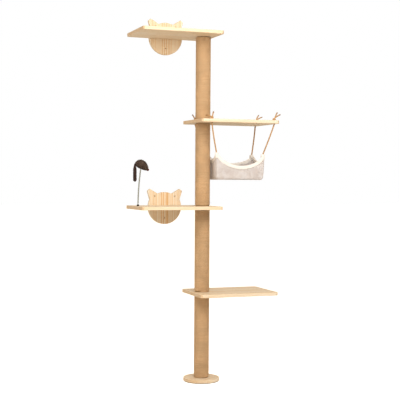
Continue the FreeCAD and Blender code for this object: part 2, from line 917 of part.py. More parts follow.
def mouse_tail():
    """Fleece tail that hangs from the rump, narrow at its top and round at its end."""
    pivot = tail_pivot()
    neck = tail_neck_diameter / 2
    full = tail_fleece_diameter / 2
    end = pivot.z + neck - tail_fleece_length
    crown = V(pivot.x, pivot.y, pivot.z + neck)
    shoulder = V(pivot.x + neck, pivot.y, pivot.z)
    crown_middle = V(pivot.x + neck * math.sqrt(0.5), pivot.y, pivot.z + neck * math.sqrt(0.5))
    hip = V(pivot.x + full, pivot.y, pivot.z - 3.2 * full)
    waist = V(pivot.x + (neck + full) * 0.48, pivot.y, pivot.z - 1.6 * full)
    low = V(pivot.x + full, pivot.y, end + full)
    low_middle = V(pivot.x + full * math.sqrt(0.5), pivot.y, end + full - full * math.sqrt(0.5))
    tip = V(pivot.x, pivot.y, end)
    outline = Part.Wire([
        Part.Arc(crown, crown_middle, shoulder).toShape(),
        Part.Arc(shoulder, waist, hip).toShape(),
        Part.LineSegment(hip, low).toShape(),
        Part.Arc(low, low_middle, tip).toShape(),
        Part.LineSegment(tip, crown).toShape(),
    ])
    return Part.Face(outline).revolve(pivot, V(0, 0, 1), 360)


parts["floor_pad"] = floor_pad()
parts["base_disc"] = base_disc()
parts["end_bolts"] = end_bolts()
parts["joining_studs"] = joining_studs()
parts["plug_inserts"] = plug_inserts()
for level in range(1, board_count + 1):
    parts["post_tube_" + str(level)] = post_tube(level)
    parts["sisal_wrap_" + str(level)] = sisal_wrap(level)
    parts["lower_plug_" + str(level)] = end_plug(level, False)
    parts["upper_plug_" + str(level)] = end_plug(level, True)
    parts["board_" + str(level)] = board(level)
for level in plate_levels:
    parts["cat_head_plate_" + str(level)] = cat_head_plate(level)
    parts["plate_screws_" + str(level)] = plate_screws(level)
cloth = cloth_shell()
parts["hammock_floor"] = hammock_floor(cloth)
for side_name, plan in wall_plans().items():
    parts["hammock_" + side_name] = hammock_wall(cloth, plan)
parts["hammock_binding"] = hammock_binding()
for name in corner_names():
    parts["corner_sleeve_" + name] = corner_sleeve(name)
    parts["hammock_rope_" + name] = hammock_rope(name)
    parts["rope_knot_" + name] = rope_knot(name)
parts["toy_socket"] = toy_socket()
parts["toy_foot"] = toy_foot()
parts["toy_spring"] = toy_spring()
parts["toy_cap"] = toy_cap()
parts["mouse_body"] = mouse_body()
parts["mouse_head"] = mouse_head()
parts["mouse_nose"] = mouse_nose()
parts["mouse_eyes"] = mouse_eyes()
parts["mouse_tail"] = mouse_tail()

os.makedirs("parts", exist_ok=True)
for node, shape in parts.items():
    shape.exportStep(os.path.join("parts", node + ".step"))
    print(node, "solids", len(shape.Solids), "valid", shape.isValid(), "volume", round(shape.Volume, 1))
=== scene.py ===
import math

import bpy
import numpy as np
from mathutils import Matrix, Vector, noise


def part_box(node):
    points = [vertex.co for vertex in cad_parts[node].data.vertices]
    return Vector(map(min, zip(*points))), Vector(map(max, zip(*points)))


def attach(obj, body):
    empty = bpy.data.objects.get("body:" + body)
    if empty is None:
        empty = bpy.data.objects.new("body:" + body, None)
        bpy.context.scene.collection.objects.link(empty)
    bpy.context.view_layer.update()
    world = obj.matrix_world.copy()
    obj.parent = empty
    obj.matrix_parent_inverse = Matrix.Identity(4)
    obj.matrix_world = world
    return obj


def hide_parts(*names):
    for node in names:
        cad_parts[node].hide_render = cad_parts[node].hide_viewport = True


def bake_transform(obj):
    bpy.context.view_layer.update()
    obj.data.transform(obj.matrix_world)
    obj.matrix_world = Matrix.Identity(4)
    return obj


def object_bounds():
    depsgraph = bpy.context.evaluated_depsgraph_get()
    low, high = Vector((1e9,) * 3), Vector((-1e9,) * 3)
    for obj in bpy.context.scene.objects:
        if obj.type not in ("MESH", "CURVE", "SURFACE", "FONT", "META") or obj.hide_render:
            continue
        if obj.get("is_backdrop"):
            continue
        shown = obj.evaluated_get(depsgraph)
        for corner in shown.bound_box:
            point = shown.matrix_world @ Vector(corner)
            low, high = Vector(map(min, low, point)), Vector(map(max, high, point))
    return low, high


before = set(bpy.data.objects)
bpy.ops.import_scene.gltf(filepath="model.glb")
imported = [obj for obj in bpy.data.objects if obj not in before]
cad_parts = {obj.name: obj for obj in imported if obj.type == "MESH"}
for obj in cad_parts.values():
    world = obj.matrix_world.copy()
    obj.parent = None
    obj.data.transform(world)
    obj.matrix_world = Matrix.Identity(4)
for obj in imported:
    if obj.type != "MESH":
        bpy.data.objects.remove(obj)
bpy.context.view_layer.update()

# A tall cat tree: four sisal posts and four pine boards in one column, two cat-head plates
# that screw to the wall, a plush hammock on four jute ropes, and a toy mouse on a spring.
# Everything is in metres. The column's axis is X = Y = 0, and the wall is towards +Y.


# ---------------------------------------------------------------- Studio
# A white studio with a seamless floor: a large softbox high in front of the tree, a weak
# reflector at its left, and bright warm walls all round, so that shadows stay soft.

WHITE_WALL = "#FFFFFF"
WALL_BOUNCE = "#FFF4E6"
STUDIO_FLOOR = "#F6F5F3"
WALL_BRIGHTNESS = 0.74
FLOOR_GLOW = 0.55
PRINT_CONTRAST = 0.80
SOFTBOX_WARMTH = "#FFFEFC"
SOFTBOX_POWER = 45.0
SOFTBOX_WIDTH = 1.7
SOFTBOX_PLACE = Vector((-0.35, -2.05, 2.20))
SOFTBOX_AIM = Vector((0.0, 0.0, 1.45))
REFLECTOR_POWER = 9.0
REFLECTOR_PLACE = Vector((-2.6, -0.6, 1.2))
FLOOR_SIZE = 60.0


def linear(hex_colour):
    """Turns an sRGB hex colour into linear red, green, blue and an alpha of 1."""
    channels = [int(hex_colour[i:i + 2], 16) / 255 for i in (1, 3, 5)]
    return [c / 12.92 if c <= 0.04045 else ((c + 0.055) / 1.055) ** 2.4 for c in channels] + [1.0]


def add_node(owner, kind, inputs=None, stops=None, **settings):
    """Adds a shader node. An input is a value, a socket, or a node whose first output is taken.
    Stops are a colour ramp's places and colours."""
    tree = owner.node_tree
    node = tree.nodes.new("ShaderNode" + kind)
    for name, value in settings.items():
        setattr(node, name, value)
    for socket, value in (inputs or {}).items():
        if isinstance(value, bpy.types.Node):
            value = value.outputs[0]
        if isinstance(value, bpy.types.NodeSocket):
            tree.links.new(value, node.inputs[socket])
        else:
            node.inputs[socket].default_value = value
    if stops:
        ramp = node.color_ramp.elements
        while len(ramp) < len(stops):
            ramp.new(1.0)
        for element, (place, colour) in zip(ramp, stops):
            element.position = place
            element.color = linear(colour)
    return node


def new_material(name):
    """An empty node material."""
    material = bpy.data.materials.new(name)
    material.use_nodes = True
    material.node_tree.nodes.clear()
    return material


def lay_surface(material, inputs):
    """Ends a material with one principled shader that has these inputs."""
    shader = add_node(material, "BsdfPrincipled", inputs)
    add_node(material, "OutputMaterial", {"Surface": shader})
    return material


def dress(node_name, material):
    """Gives a piece of the frame its finish."""
    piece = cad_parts[node_name]
    piece.data.materials.clear()
    piece.data.materials.append(material)


def mesh_piece(name, points, faces, material, loop_uv=None, smooth=True):
    """A mesh object from points, faces and a texture place for each face corner."""
    mesh = bpy.data.meshes.new(name)
    mesh.from_pydata([tuple(p) for p in points], [], [tuple(f) for f in faces])
    if loop_uv is not None:
        layer = mesh.uv_layers.new(name="UVMap")
        layer.data.foreach_set("uv", np.asarray(loop_uv, np.float32).ravel())
    mesh.polygons.foreach_set("use_smooth", [smooth] * len(mesh.polygons))
    mesh.materials.append(material)
    mesh.update()
    piece = bpy.data.objects.new(name, mesh)
    bpy.context.scene.collection.objects.link(piece)
    return piece


world = bpy.data.worlds.new("white_studio")
world.use_nodes = True
world.node_tree.nodes.clear()
wall_light = add_node(world, "Background", {"Color": linear(WALL_BOUNCE), "Strength": WALL_BRIGHTNESS})
wall_seen = add_node(world, "Background", {"Color": linear(WHITE_WALL), "Strength": 1.0})
ray_kind = add_node(world, "LightPath")
wall_mix = add_node(world, "MixShader", {
    0: ray_kind.outputs["Is Camera Ray"], 1: wall_light, 2: wall_seen,
})
add_node(world, "OutputWorld", {"Surface": wall_mix})
bpy.context.scene.world = world
bpy.context.scene.view_settings.view_transform = "Standard"
bpy.context.scene.view_settings.gamma = PRINT_CONTRAST

floor_paint = new_material("matt_floor_paint")
floor_grain = add_node(floor_paint, "TexNoise", {"Scale": 3.0, "Detail": 3.0})
floor_rough = add_node(floor_paint, "MapRange", {"Value": floor_grain, "To Min": 0.80, "To Max": 0.92})
floor_ray = add_node(floor_paint, "LightPath")
floor_glow = add_node(floor_paint, "Math", {
    0: floor_ray.outputs["Is Camera Ray"], 1: FLOOR_GLOW,
}, operation="MULTIPLY")
lay_surface(floor_paint, {
    "Base Color": linear(STUDIO_FLOOR), "Roughness": floor_rough, "Specular IOR Level": 0.2,
    "Emission Color": linear(WHITE_WALL), "Emission Strength": floor_glow,
})

half_floor = FLOOR_SIZE / 2
floor = mesh_piece(
    "studio_floor",
    [(x * half_floor, y * half_floor, 0) for x, y in ((-1, -1), (1, -1), (1, 1), (-1, 1))],
    [(0, 1, 2, 3)],
    floor_paint,
    smooth=False,
)
floor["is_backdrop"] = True


def soft_light(name, power, width, place, aim):
    """A large square lamp that shines from a place towards an aim."""
    lamp = bpy.data.lights.new(name, "AREA")
    lamp.shape = "SQUARE"
    lamp.size = width
    lamp.energy = power
    lamp.color = linear(SOFTBOX_WARMTH)[:3]
    holder = bpy.data.objects.new(name, lamp)
    holder.location = place
    holder.rotation_euler = (aim - place).to_track_quat("-Z", "Y").to_euler()
    holder.visible_camera = False
    bpy.context.scene.collection.objects.link(holder)


soft_light("softbox", SOFTBOX_POWER, SOFTBOX_WIDTH, SOFTBOX_PLACE, SOFTBOX_AIM)
soft_light("side_reflector", REFLECTOR_POWER, SOFTBOX_WIDTH, REFLECTOR_PLACE, SOFTBOX_AIM)

# The camera's place and turn come from a fit to the tree's board edges in the 400-pixel picture.
CAMERA_PLACE = Vector((-1.6668, -4.4662, 0.9800))
CAMERA_YAW = 0.3548
CAMERA_PITCH = -0.0213
CAMERA_ROLL = 0.0064
FOCAL_LENGTH_PX = 983.1
PICTURE_PX = 400
SENSOR_MM = 36.0

look = Vector((
    math.sin(CAMERA_YAW) * math.cos(CAMERA_PITCH),
    math.cos(CAMERA_YAW) * math.cos(CAMERA_PITCH),
    math.sin(CAMERA_PITCH),
))
level_right = Vector((math.cos(CAMERA_YAW), -math.sin(CAMERA_YAW), 0))
level_up = level_right.cross(look)
camera_right = level_right * math.cos(CAMERA_ROLL) + level_up * math.sin(CAMERA_ROLL)
camera_up = level_up * math.cos(CAMERA_ROLL) - level_right * math.sin(CAMERA_ROLL)
camera_data = bpy.data.cameras.new("camera")
camera_data.sensor_width = SENSOR_MM
camera_data.lens = SENSOR_MM * FOCAL_LENGTH_PX / PICTURE_PX
camera = bpy.data.objects.new("camera", camera_data)
camera_turn = Matrix((camera_right, camera_up, -look)).transposed().to_4x4()
camera.matrix_world = Matrix.Translation(CAMERA_PLACE) @ camera_turn
bpy.context.scene.collection.objects.link(camera)
bpy.context.scene.camera = camera


# ---------------------------------------------------------------- Floor pad
# A 2 mm disc of black EPDM rubber, die-cut from calendered sheet and glued under the foot.
# It shows only as a dark line at the floor: matt, with the faint print of the press cloth.

PAD_CLOTH_MM = 1.2
METRE_MM = 1000.0


def mottled(name, grain_mm, stops, rough, inputs, bump=None, detail=3.0, spread=0.5):
    """A finish with one noise, in mm, behind its colours, its roughness and its relief. Rough is
    the roughness at the noise's low and high end, and bump is the relief's strength and depth."""
    material = new_material(name)
    place = add_node(material, "TexCoord")
    grain = add_node(material, "TexNoise", {
        "Vector": place.outputs["Object"], "Scale": METRE_MM / grain_mm, "Detail": detail,
        "Roughness": spread,
    })
    inputs = dict(inputs)
    inputs["Roughness"] = add_node(material, "MapRange", {
        "Value": grain, "To Min": rough[0], "To Max": rough[1],
    })
    if stops:
        inputs["Base Color"] = add_node(material, "ValToRGB", {"Fac": grain}, stops=stops)
    if bump:
        inputs["Normal"] = add_node(material, "Bump", {
            "Height": grain, "Strength": bump[0], "Distance": bump[1],
        })
    return lay_surface(material, inputs)


# Near-black and matt, with a faint mottle that breaks up its highlight.
rubber_material = mottled(
    "pressed_epdm_rubber", PAD_CLOTH_MM, [(0.3, "#1B1B1C"), (0.7, "#2B2A2A")], (0.72, 0.90),
    {"IOR": 1.52}, bump=(0.4, 0.0002),
)
dress("floor_pad", rubber_material)


# ---------------------------------------------------------------- Pine foot, boards and plates
# Solid Scots pine, glued up from planed staves, cut out, rounded over, sanded and wiped with
# clear matt lacquer. The growth rings run lengthwise on the faces, as pale bands and honey
# lines, and are cut across at the ends, which drink the lacquer and look darker.

PINE_EARLY = "#EAE3D7"
PINE_MIDDLE = "#E7DDCC"
PINE_LATE = "#DFCAAB"
PINE_END = "#F0E4D6"
STAVE_PALE = "#FFFFFF"
STAVE_WARM = "#FDF7EE"
STREAK_PALE = "#FFFFFF"
STREAK_WARM = "#FBF2E5"
HEART_STRIPE = "#F4DFBF"
FIBRE_WARM = "#F4EADA"
FIBRE_PALE = "#FFFFFF"
GLUE_LINE = "#C9A676"
RING_MM = 4.4
STAVE_MM = 46.0
PITH_DEPTH_MM = 16.0
PITH_DEPTH_SPREAD_MM = 46.0
GRAIN_SWAY_MM = 7.0
GRAIN_SWAY_LENGTH_MM = 260.0
STREAK_WIDTH_MM = 7.0
STREAK_LENGTH_MM = 420.0
FIBRE_WIDTH_MM = 0.9
FIBRE_LENGTH_MM = 26.0
GLUE_LINE_SHARE = 0.006
HEART_PITCH_MM = 11.0
HEART_REACH_MM = 20.0
STAVE_SHIFT = 37.0
PLATE_TURN = Matrix(((0, 1, 0), (0, 0, 1), (1, 0, 0))).to_euler()
FOOT_TURN = Matrix.Rotation(math.radians(38), 3, "Z").to_euler()
NO_TURN = Matrix.Identity(3).to_euler()


def sanded_pine(name, centre, turn, first_stave, heart=0.0):
    """Pale sanded pine: soft bands along the grain, a tone of its own for each stave, end grain
    that looks darker. The grain runs along the turned X axis, with the staves side by side along
    Y. Heart is how strongly the dark stripes of the log's heart show along the middle."""
    pine = new_material("sanded_pine_" + name)
    place = add_node(pine, "TexCoord")
    in_mm = add_node(pine, "Mapping", {
        "Vector": place.outputs["Object"], "Location": centre, "Rotation": turn,
        "Scale": (1 / METRE_MM,) * 3,
    }, vector_type="TEXTURE")
    axes = add_node(pine, "SeparateXYZ", {"Vector": in_mm})
    along, across, deep = axes.outputs["X"], axes.outputs["Y"], axes.outputs["Z"]

    # Each stave comes from another log: its own rings, tone and run of grain.
    stave_place = add_node(pine, "Math", {
        0: across, 1: 1 / STAVE_MM, 2: first_stave,
    }, operation="MULTIPLY_ADD")
    stave = add_node(pine, "Math", {0: stave_place}, operation="FLOOR")
    inside = add_node(pine, "Math", {0: stave_place}, operation="FRACT")
    luck = add_node(pine, "TexWhiteNoise", {"W": stave}, noise_dimensions="1D")
    lucky = add_node(pine, "SeparateColor", {"Color": luck.outputs["Color"]})

    def fine_noise(length_mm, width_mm, detail):
        """Noise drawn out along the grain, shifted from stave to stave."""
        shift = add_node(pine, "Math", {0: lucky.outputs["Red"], 1: STAVE_SHIFT}, operation="MULTIPLY")
        stretched = add_node(pine, "Math", {
            0: along, 1: 1 / length_mm, 2: shift,
        }, operation="MULTIPLY_ADD")
        sideways = add_node(pine, "Math", {0: across, 1: 1 / width_mm}, operation="MULTIPLY")
        inwards = add_node(pine, "Math", {0: deep, 1: 1 / width_mm}, operation="MULTIPLY")
        where = add_node(pine, "CombineXYZ", {"X": stretched, "Y": sideways, "Z": inwards})
        return add_node(pine, "TexNoise", {"Vector": where, "Scale": 1.0, "Detail": detail})

    # Rings round a pith that lies below the stave and wanders a little along it.
    sway = fine_noise(GRAIN_SWAY_LENGTH_MM, GRAIN_SWAY_LENGTH_MM / 4, 2.0)
    swayed = add_node(pine, "Math", {
        0: sway, 1: GRAIN_SWAY_MM, 2: -GRAIN_SWAY_MM / 2,
    }, operation="MULTIPLY_ADD")
    off_pith = add_node(pine, "Math", {0: inside, 1: lucky.outputs["Green"]}, operation="SUBTRACT")
    from_pith = add_node(pine, "Math", {0: off_pith, 1: STAVE_MM, 2: swayed}, operation="MULTIPLY_ADD")
    pith_depth = add_node(pine, "Math", {
        0: lucky.outputs["Blue"], 1: PITH_DEPTH_SPREAD_MM, 2: PITH_DEPTH_MM,
    }, operation="MULTIPLY_ADD")
    over_pith = add_node(pine, "Math", {0: deep, 1: pith_depth}, operation="ADD")
    ring_spot = add_node(pine, "CombineXYZ", {"X": swayed, "Y": from_pith, "Z": over_pith})
    distance = add_node(pine, "VectorMath", {0: ring_spot}, operation="LENGTH")
    ring_count = add_node(pine, "Math", {
        0: distance.outputs["Value"], 1: 1 / RING_MM,
    }, operation="MULTIPLY")
    ring = add_node(pine, "Math", {0: ring_count}, operation="FRACT")
    rings = add_node(pine, "ValToRGB", {"Fac": ring}, stops=[
        (0.0, PINE_EARLY), (0.45, PINE_EARLY), (0.72, PINE_MIDDLE), (0.9, PINE_LATE), (1.0, PINE_EARLY),
    ])

    # Streaks of resin and sapwood, a tone for each stave, and the fine fibres.
    streak_noise = fine_noise(STREAK_LENGTH_MM, STREAK_WIDTH_MM, 3.0)
    fibre_noise = fine_noise(FIBRE_LENGTH_MM, FIBRE_WIDTH_MM, 4.0)
    layered = rings
    for strength, share, tints in (
        (1.0, streak_noise, [(0.38, STREAK_PALE), (0.66, STREAK_WARM)]),
        (1.0, lucky.outputs["Red"], [(0.0, STAVE_PALE), (1.0, STAVE_WARM)]),
        (0.7, fibre_noise, [(0.3, FIBRE_WARM), (0.62, FIBRE_PALE)]),
    ):
        layer = add_node(pine, "ValToRGB", {"Fac": share}, stops=tints)
        layered = add_node(pine, "MixRGB", {
            "Fac": strength, "Color1": layered, "Color2": layer,
        }, blend_type="MULTIPLY")

    # Close to the heart the rings are cut upright, and show as a few clear stripes.
    bent = add_node(pine, "Math", {0: swayed, 1: 0.25, 2: across}, operation="MULTIPLY_ADD")
    stripe_turn = add_node(pine, "Math", {0: bent, 1: 2 * math.pi / HEART_PITCH_MM}, operation="MULTIPLY")
    stripe = add_node(pine, "Math", {0: stripe_turn}, operation="COSINE")
    off_middle = add_node(pine, "Math", {0: bent}, operation="ABSOLUTE")
    near_heart = add_node(pine, "MapRange", {
        "Value": off_middle, "From Min": HEART_REACH_MM, "From Max": HEART_REACH_MM * 0.8, "To Max": heart,
    })
    stripes = add_node(pine, "MapRange", {
        "Value": stripe, "From Min": -0.9, "From Max": 0.1, "To Min": 1.0, "To Max": 0.0,
    })
    striped = add_node(pine, "Math", {0: stripes, 1: near_heart}, operation="MULTIPLY")
    hearted = add_node(pine, "MixRGB", {
        "Fac": striped, "Color1": layered, "Color2": linear(HEART_STRIPE),
    }, blend_type="MULTIPLY")

    # The glue line between two staves is a hair-thin dark seam.
    from_seam = add_node(pine, "Math", {0: inside, 1: 0.5}, operation="PINGPONG")
    seam = add_node(pine, "Math", {0: from_seam, 1: GLUE_LINE_SHARE}, operation="LESS_THAN")
    seamed = add_node(pine, "MixRGB", {"Fac": seam, "Color1": hearted, "Color2": linear(GLUE_LINE)})

    # End grain shows wherever the surface looks along the staves.
    grain_way = Matrix.Identity(3)
    grain_way.rotate(turn)
    facing = add_node(pine, "VectorMath", {
        0: place.outputs["Normal"], 1: tuple(grain_way.col[0]),
    }, operation="DOT_PRODUCT")
    along_grain = add_node(pine, "Math", {0: facing.outputs["Value"]}, operation="ABSOLUTE")
    end_share = add_node(pine, "MapRange", {
        "Value": along_grain, "From Min": 0.45, "From Max": 0.95, "To Max": 0.72,
    })
    end_tint = add_node(pine, "MixRGB", {
        "Fac": 1.0, "Color1": seamed, "Color2": linear(PINE_END),
    }, blend_type="MULTIPLY")
    colour = add_node(pine, "MixRGB", {"Fac": end_share, "Color1": seamed, "Color2": end_tint})

    rough = add_node(pine, "MapRange", {"Value": ring, "To Min": 0.56, "To Max": 0.44})
    relief = add_node(pine, "Math", {0: ring, 1: 0.6, 2: fibre_noise}, operation="MULTIPLY_ADD")
    bump = add_node(pine, "Bump", {"Height": relief, "Strength": 0.25, "Distance": 0.0003})
    return lay_surface(pine, {
        "Base Color": colour, "Roughness": rough, "IOR": 1.5, "Specular IOR Level": 0.35, "Normal": bump,
    })


def middle_of(node_name):
    """Middle of a piece's box."""
    low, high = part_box(node_name)
    return (low + high) / 2


dress("base_disc", sanded_pine("foot", middle_of("base_disc"), FOOT_TURN, 0.5))
for level in (1, 2, 3, 4):
    name = f"board_{level}"
    dress(name, sanded_pine(name, middle_of(name), NO_TURN, 20.0 * level))
for level in (2, 4):
    name = f"cat_head_plate_{level}"
    dress(name, sanded_pine(name, middle_of(name), PLATE_TURN, 0.42 + 11.0 * level, heart=1.0))


# ---------------------------------------------------------------- Post cores and their fittings
# Inside each post: a spiral-wound paper tube, a turned pine plug in each end, and a
# zinc-plated threaded insert in each plug. Studs join the posts through the boards.

PAPER_BAND_MM = 80.0
ZINC_MOTTLE_MM = 1.5


def wound_paper():
    """Brown paperboard: quite matt, with the soft slanting bands of its plies."""
    paper = new_material("spiral_wound_paperboard")
    place = add_node(paper, "TexCoord")
    bands = add_node(paper, "TexWave", {
        "Vector": place.outputs["Object"], "Scale": METRE_MM / PAPER_BAND_MM, "Distortion": 1.5,
    }, wave_type="BANDS", bands_direction="DIAGONAL")
    colour = add_node(paper, "ValToRGB", {"Fac": bands.outputs["Fac"]}, stops=[
        (0.2, "#A98F6C"), (0.8, "#BBA27E"),
    ])
    rough = add_node(paper, "MapRange", {"Value": bands.outputs["Fac"], "To Min": 0.85, "To Max": 0.95})
    return lay_surface(paper, {"Base Color": colour, "Roughness": rough})


paper_material = wound_paper()
# Bright zinc over cold-formed steel: pale blue-grey, with the soft mottle of the plating bath.
zinc_material = mottled(
    "zinc_plated_steel", ZINC_MOTTLE_MM, [(0.3, "#B9BDC2"), (0.7, "#D5D8DA")], (0.28, 0.42),
    {"Metallic": 1.0},
)
plug_material = sanded_pine("plug", Vector((0, 0, 0.2)), PLATE_TURN, 0.5)
for level in (1, 2, 3, 4):
    dress(f"post_tube_{level}", paper_material)
    dress(f"lower_plug_{level}", plug_material)
    dress(f"upper_plug_{level}", plug_material)
dress("plug_inserts", zinc_material)
dress("joining_studs", zinc_material)


# ---------------------------------------------------------------- End bolts and plate screws
# The column is closed by a flat-headed M10 bolt at each end, and each plate is held to its
# board by two countersunk wood screws from behind. The heads lie flush in the wood, with a
# hex socket in the bolts and a cross recess in the screws.

BOLT_HEAD_RADIUS = 0.010
BOLT_HEAD_HEIGHT = 0.0055
BOLT_SHANK_RADIUS = 0.005
HEX_SOCKET_RADIUS = 0.0034
HEX_SOCKET_DEPTH = 0.0035
SCREW_HEAD_RADIUS = 0.0045
SCREW_SHANK_RADIUS = 0.00225
SCREW_LENGTH = 0.046
SCREW_HEAD_HEIGHT = 0.00225
CROSS_RADIUS = 0.0024
CROSS_HALF_WIDTH = 0.0006
CROSS_DEPTH = 0.0018
HEAD_SIDES = 48
BOLT_IN_POST = 0.024


def ring_faces(rows, columns, first=0):
    """Quads between closed rings of points that follow one another."""
    faces = []
    for low in range(first, first + (rows - 1) * columns, columns):
        for k in range(columns):
            after = (k + 1) % columns
            faces.append((low + k, low + after, low + columns + after, low + columns + k))
    return faces


def countersunk_screw(head_radius, head_height, shank_radius, length, recess, recess_depth):
    """A flat head with a recess, on a shank, pointing down from the origin."""
    turns = [2 * math.pi * k / HEAD_SIDES for k in range(HEAD_SIDES)]
    profile = ((head_radius, 0.0), (shank_radius, -head_height), (shank_radius, -length))
    points = [(r * math.cos(a), r * math.sin(a), z) for r, z in profile for a in turns]
    faces = [face[::-1] for face in ring_faces(len(profile), HEAD_SIDES)]
    faces.append([2 * HEAD_SIDES + k for k in range(HEAD_SIDES)][::-1])
    # The flat of the head fans from its rim to the recess, by the nearest recess corner.
    first = len(points)
    count = len(recess)
    points += [(x, y, 0.0) for x, y in recess]
    points += [(x, y, -recess_depth) for x, y in recess]
    nearest = []
    for a in turns:
        rim = Vector((math.cos(a), math.sin(a))) * head_radius
        nearest.append(min(range(count), key=lambda i: (Vector(recess[i]) - rim).length))
    for k in range(HEAD_SIDES):
        after = (k + 1) % HEAD_SIDES
        here, there = nearest[k], nearest[after]
        faces.append((k, after, first + here))
        while here != there:
            step = (here + 1) % count
            faces.append((after, first + step, first + here))
            here = step
    for i in range(count):
        after = (i + 1) % count
        faces.append((first + i, first + after, first + count + after, first + count + i))
    faces.append([first + count + i for i in range(count)])
    return np.array(points), faces


def place_shapes(shapes):
    """Joins shapes, each (points, faces, 4x4 place), into one list of points and faces."""
    all_points, all_faces = [], []
    for points, faces, place in shapes:
        start = sum(len(p) for p in all_points)
        turn = np.array(place.to_3x3())
        all_points.append(np.asarray(points) @ turn.T + np.array(place.translation))
        all_faces += [tuple(i + start for i in face) for face in faces]
    return np.concatenate(all_points), all_faces


hexagon = [
    (HEX_SOCKET_RADIUS * math.cos(k * math.pi / 3), HEX_SOCKET_RADIUS * math.sin(k * math.pi / 3))
    for k in range(6)
]
cross = []
for quarter in range(4):
    ahead = Vector((math.cos(quarter * math.pi / 2), math.sin(quarter * math.pi / 2)))
    aside = Vector((-ahead.y, ahead.x))
    cross += [tuple(ahead * CROSS_RADIUS + aside * CROSS_HALF_WIDTH * hand) for hand in (-1, 1)]
    cross.append(tuple((ahead + aside) * CROSS_HALF_WIDTH))

bolt_low, bolt_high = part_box("end_bolts")
bolt_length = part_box("board_4")[1].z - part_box("board_4")[0].z + BOLT_IN_POST
bolt = countersunk_screw(
    BOLT_HEAD_RADIUS, BOLT_HEAD_HEIGHT, BOLT_SHANK_RADIUS, bolt_length, hexagon, HEX_SOCKET_DEPTH,
)
upside_down = Matrix.Rotation(math.pi, 4, "X")
points, faces = place_shapes([
    (*bolt, Matrix.Translation((0, 0, bolt_high.z))),
    (*bolt, Matrix.Translation((0, 0, bolt_low.z)) @ upside_down),
])
end_bolts = mesh_piece("end_bolts_with_sockets", points, faces, zinc_material, smooth=False)
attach(end_bolts, "root")
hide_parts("end_bolts")

screw = countersunk_screw(
    SCREW_HEAD_RADIUS, SCREW_HEAD_HEIGHT, SCREW_SHANK_RADIUS, SCREW_LENGTH, cross, CROSS_DEPTH,
)
to_the_room = Matrix.Rotation(-math.pi / 2, 4, "X")
for level in (2, 4):
    low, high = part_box(f"plate_screws_{level}")
    middle_z = (low.z + high.z) / 2
    points, faces = place_shapes([
        (*screw, Matrix.Translation((low.x + SCREW_HEAD_RADIUS, high.y, middle_z)) @ to_the_room),
        (*screw, Matrix.Translation((high.x - SCREW_HEAD_RADIUS, high.y, middle_z)) @ to_the_room),
    ])
    screws = mesh_piece(f"cross_head_screws_{level}", points, faces, zinc_material, smooth=False)
    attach(screws, "root")
    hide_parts(f"plate_screws_{level}")


# ---------------------------------------------------------------- Sisal winding
# 5 mm three-strand sisal, wound turn on turn round each paper tube and glued. It is a hard,
# dry leaf fibre: golden tan where the turns catch the light, with painted shade in the furrows
# between them, and stray ends sticking out.

CORD_RADIUS = 0.0025
CORD_LAY = 0.0165
TURN_STEPS = 64
CORD_SIDES = 8
STRAY_FIBRES = 420
STRAY_FIBRE_LENGTH = 0.007
STRAY_FIBRE_RADIUS = 0.00012
SISAL_DARK = "#C49B72"
SISAL_MIDDLE = "#E3C8A3"
SISAL_PALE = "#EFDEC0"
# Painted shade: the colour that darkens the furrows between the cord's strands.
SISAL_FURROW_PAINTED_SHADE = "#A26C3F"
TURN_WANDER = 0.00012
TURN_SWELL = 0.00006
WINDING_START = 2.1
SISAL_STRANDS = 3
SISAL_FIBRE_MM = 0.5
FIBRE_RUN_MM = 14.0
BATCH_MM = 60.0
TURN_TONE_MM = 130.0
FIBRE_SHEEN = "#F0DDBB"


def unit(rows):
    """The rows of an array, each as a unit vector."""
    return rows / np.linalg.norm(rows, axis=1)[:, None]


def run_along(path):
    """How far along a path each of its points lies."""
    return np.concatenate([[0], np.cumsum(np.linalg.norm(np.diff(path, axis=0), axis=1))])


def sides_along(path):
    """Sideways and upward unit vectors along a path, that don't turn about it."""
    ways = unit(np.gradient(path, axis=0))
    side = np.cross(ways[0], (0.3, 0.5, 0.8))
    across = []
    for way in ways:
        side = side - way * (side @ way)
        side /= np.linalg.norm(side)
        across.append(side)
    return np.array(across), np.cross(ways, across)


def tube(path, radius, sides):
    """A round tube along points, with ends closed, and texture places: metres along, share around."""
    path = np.asarray(path, float)
    radius = np.broadcast_to(radius, len(path))
    across, upward = sides_along(path)
    angles = np.arange(sides)[:, None] * 2 * np.pi / sides
    spokes = across[:, None] * np.cos(angles) + upward[:, None] * np.sin(angles)
    points = (path[:, None] + spokes * radius[:, None, None]).reshape(-1, 3)
    ring = np.arange(len(path) - 1)[:, None] * sides
    spoke = np.arange(sides)[None]
    after = (spoke + 1) % sides
    quads = np.stack([ring + spoke, ring + after, ring + sides + after, ring + sides + spoke], -1)
    travelled = run_along(path)
    near, far = travelled[:-1, None] + 0 * spoke, travelled[1:, None] + 0 * spoke
    low, high = (spoke + 0 * ring) / sides, (spoke + 1 + 0 * ring) / sides
    loop_uv = np.stack([near, low, near, high, far, high, far, low], -1).reshape(-1, 2)
    last = (len(path) - 1) * sides
    caps = [list(range(sides))[::-1], [last + k for k in range(sides)]]
    cap_uv = [(0.0, 0.0)] * sides + [(travelled[-1], 0.0)] * sides
    faces = [tuple(quad) for quad in quads.reshape(-1, 4)] + caps
    return points, faces, np.concatenate([loop_uv, cap_uv])


def join_tubes(tubes):
    """Several tubes as one list of points, faces and texture places."""
    start = 0
    points, faces, places = [], [], []
    for tube_points, tube_faces, loop_uv in tubes:
        points.append(tube_points)
        faces += [tuple(i + start for i in face) for face in tube_faces]
        places.append(loop_uv)
        start += len(tube_points)
    return np.concatenate(points), faces, np.concatenate(places)


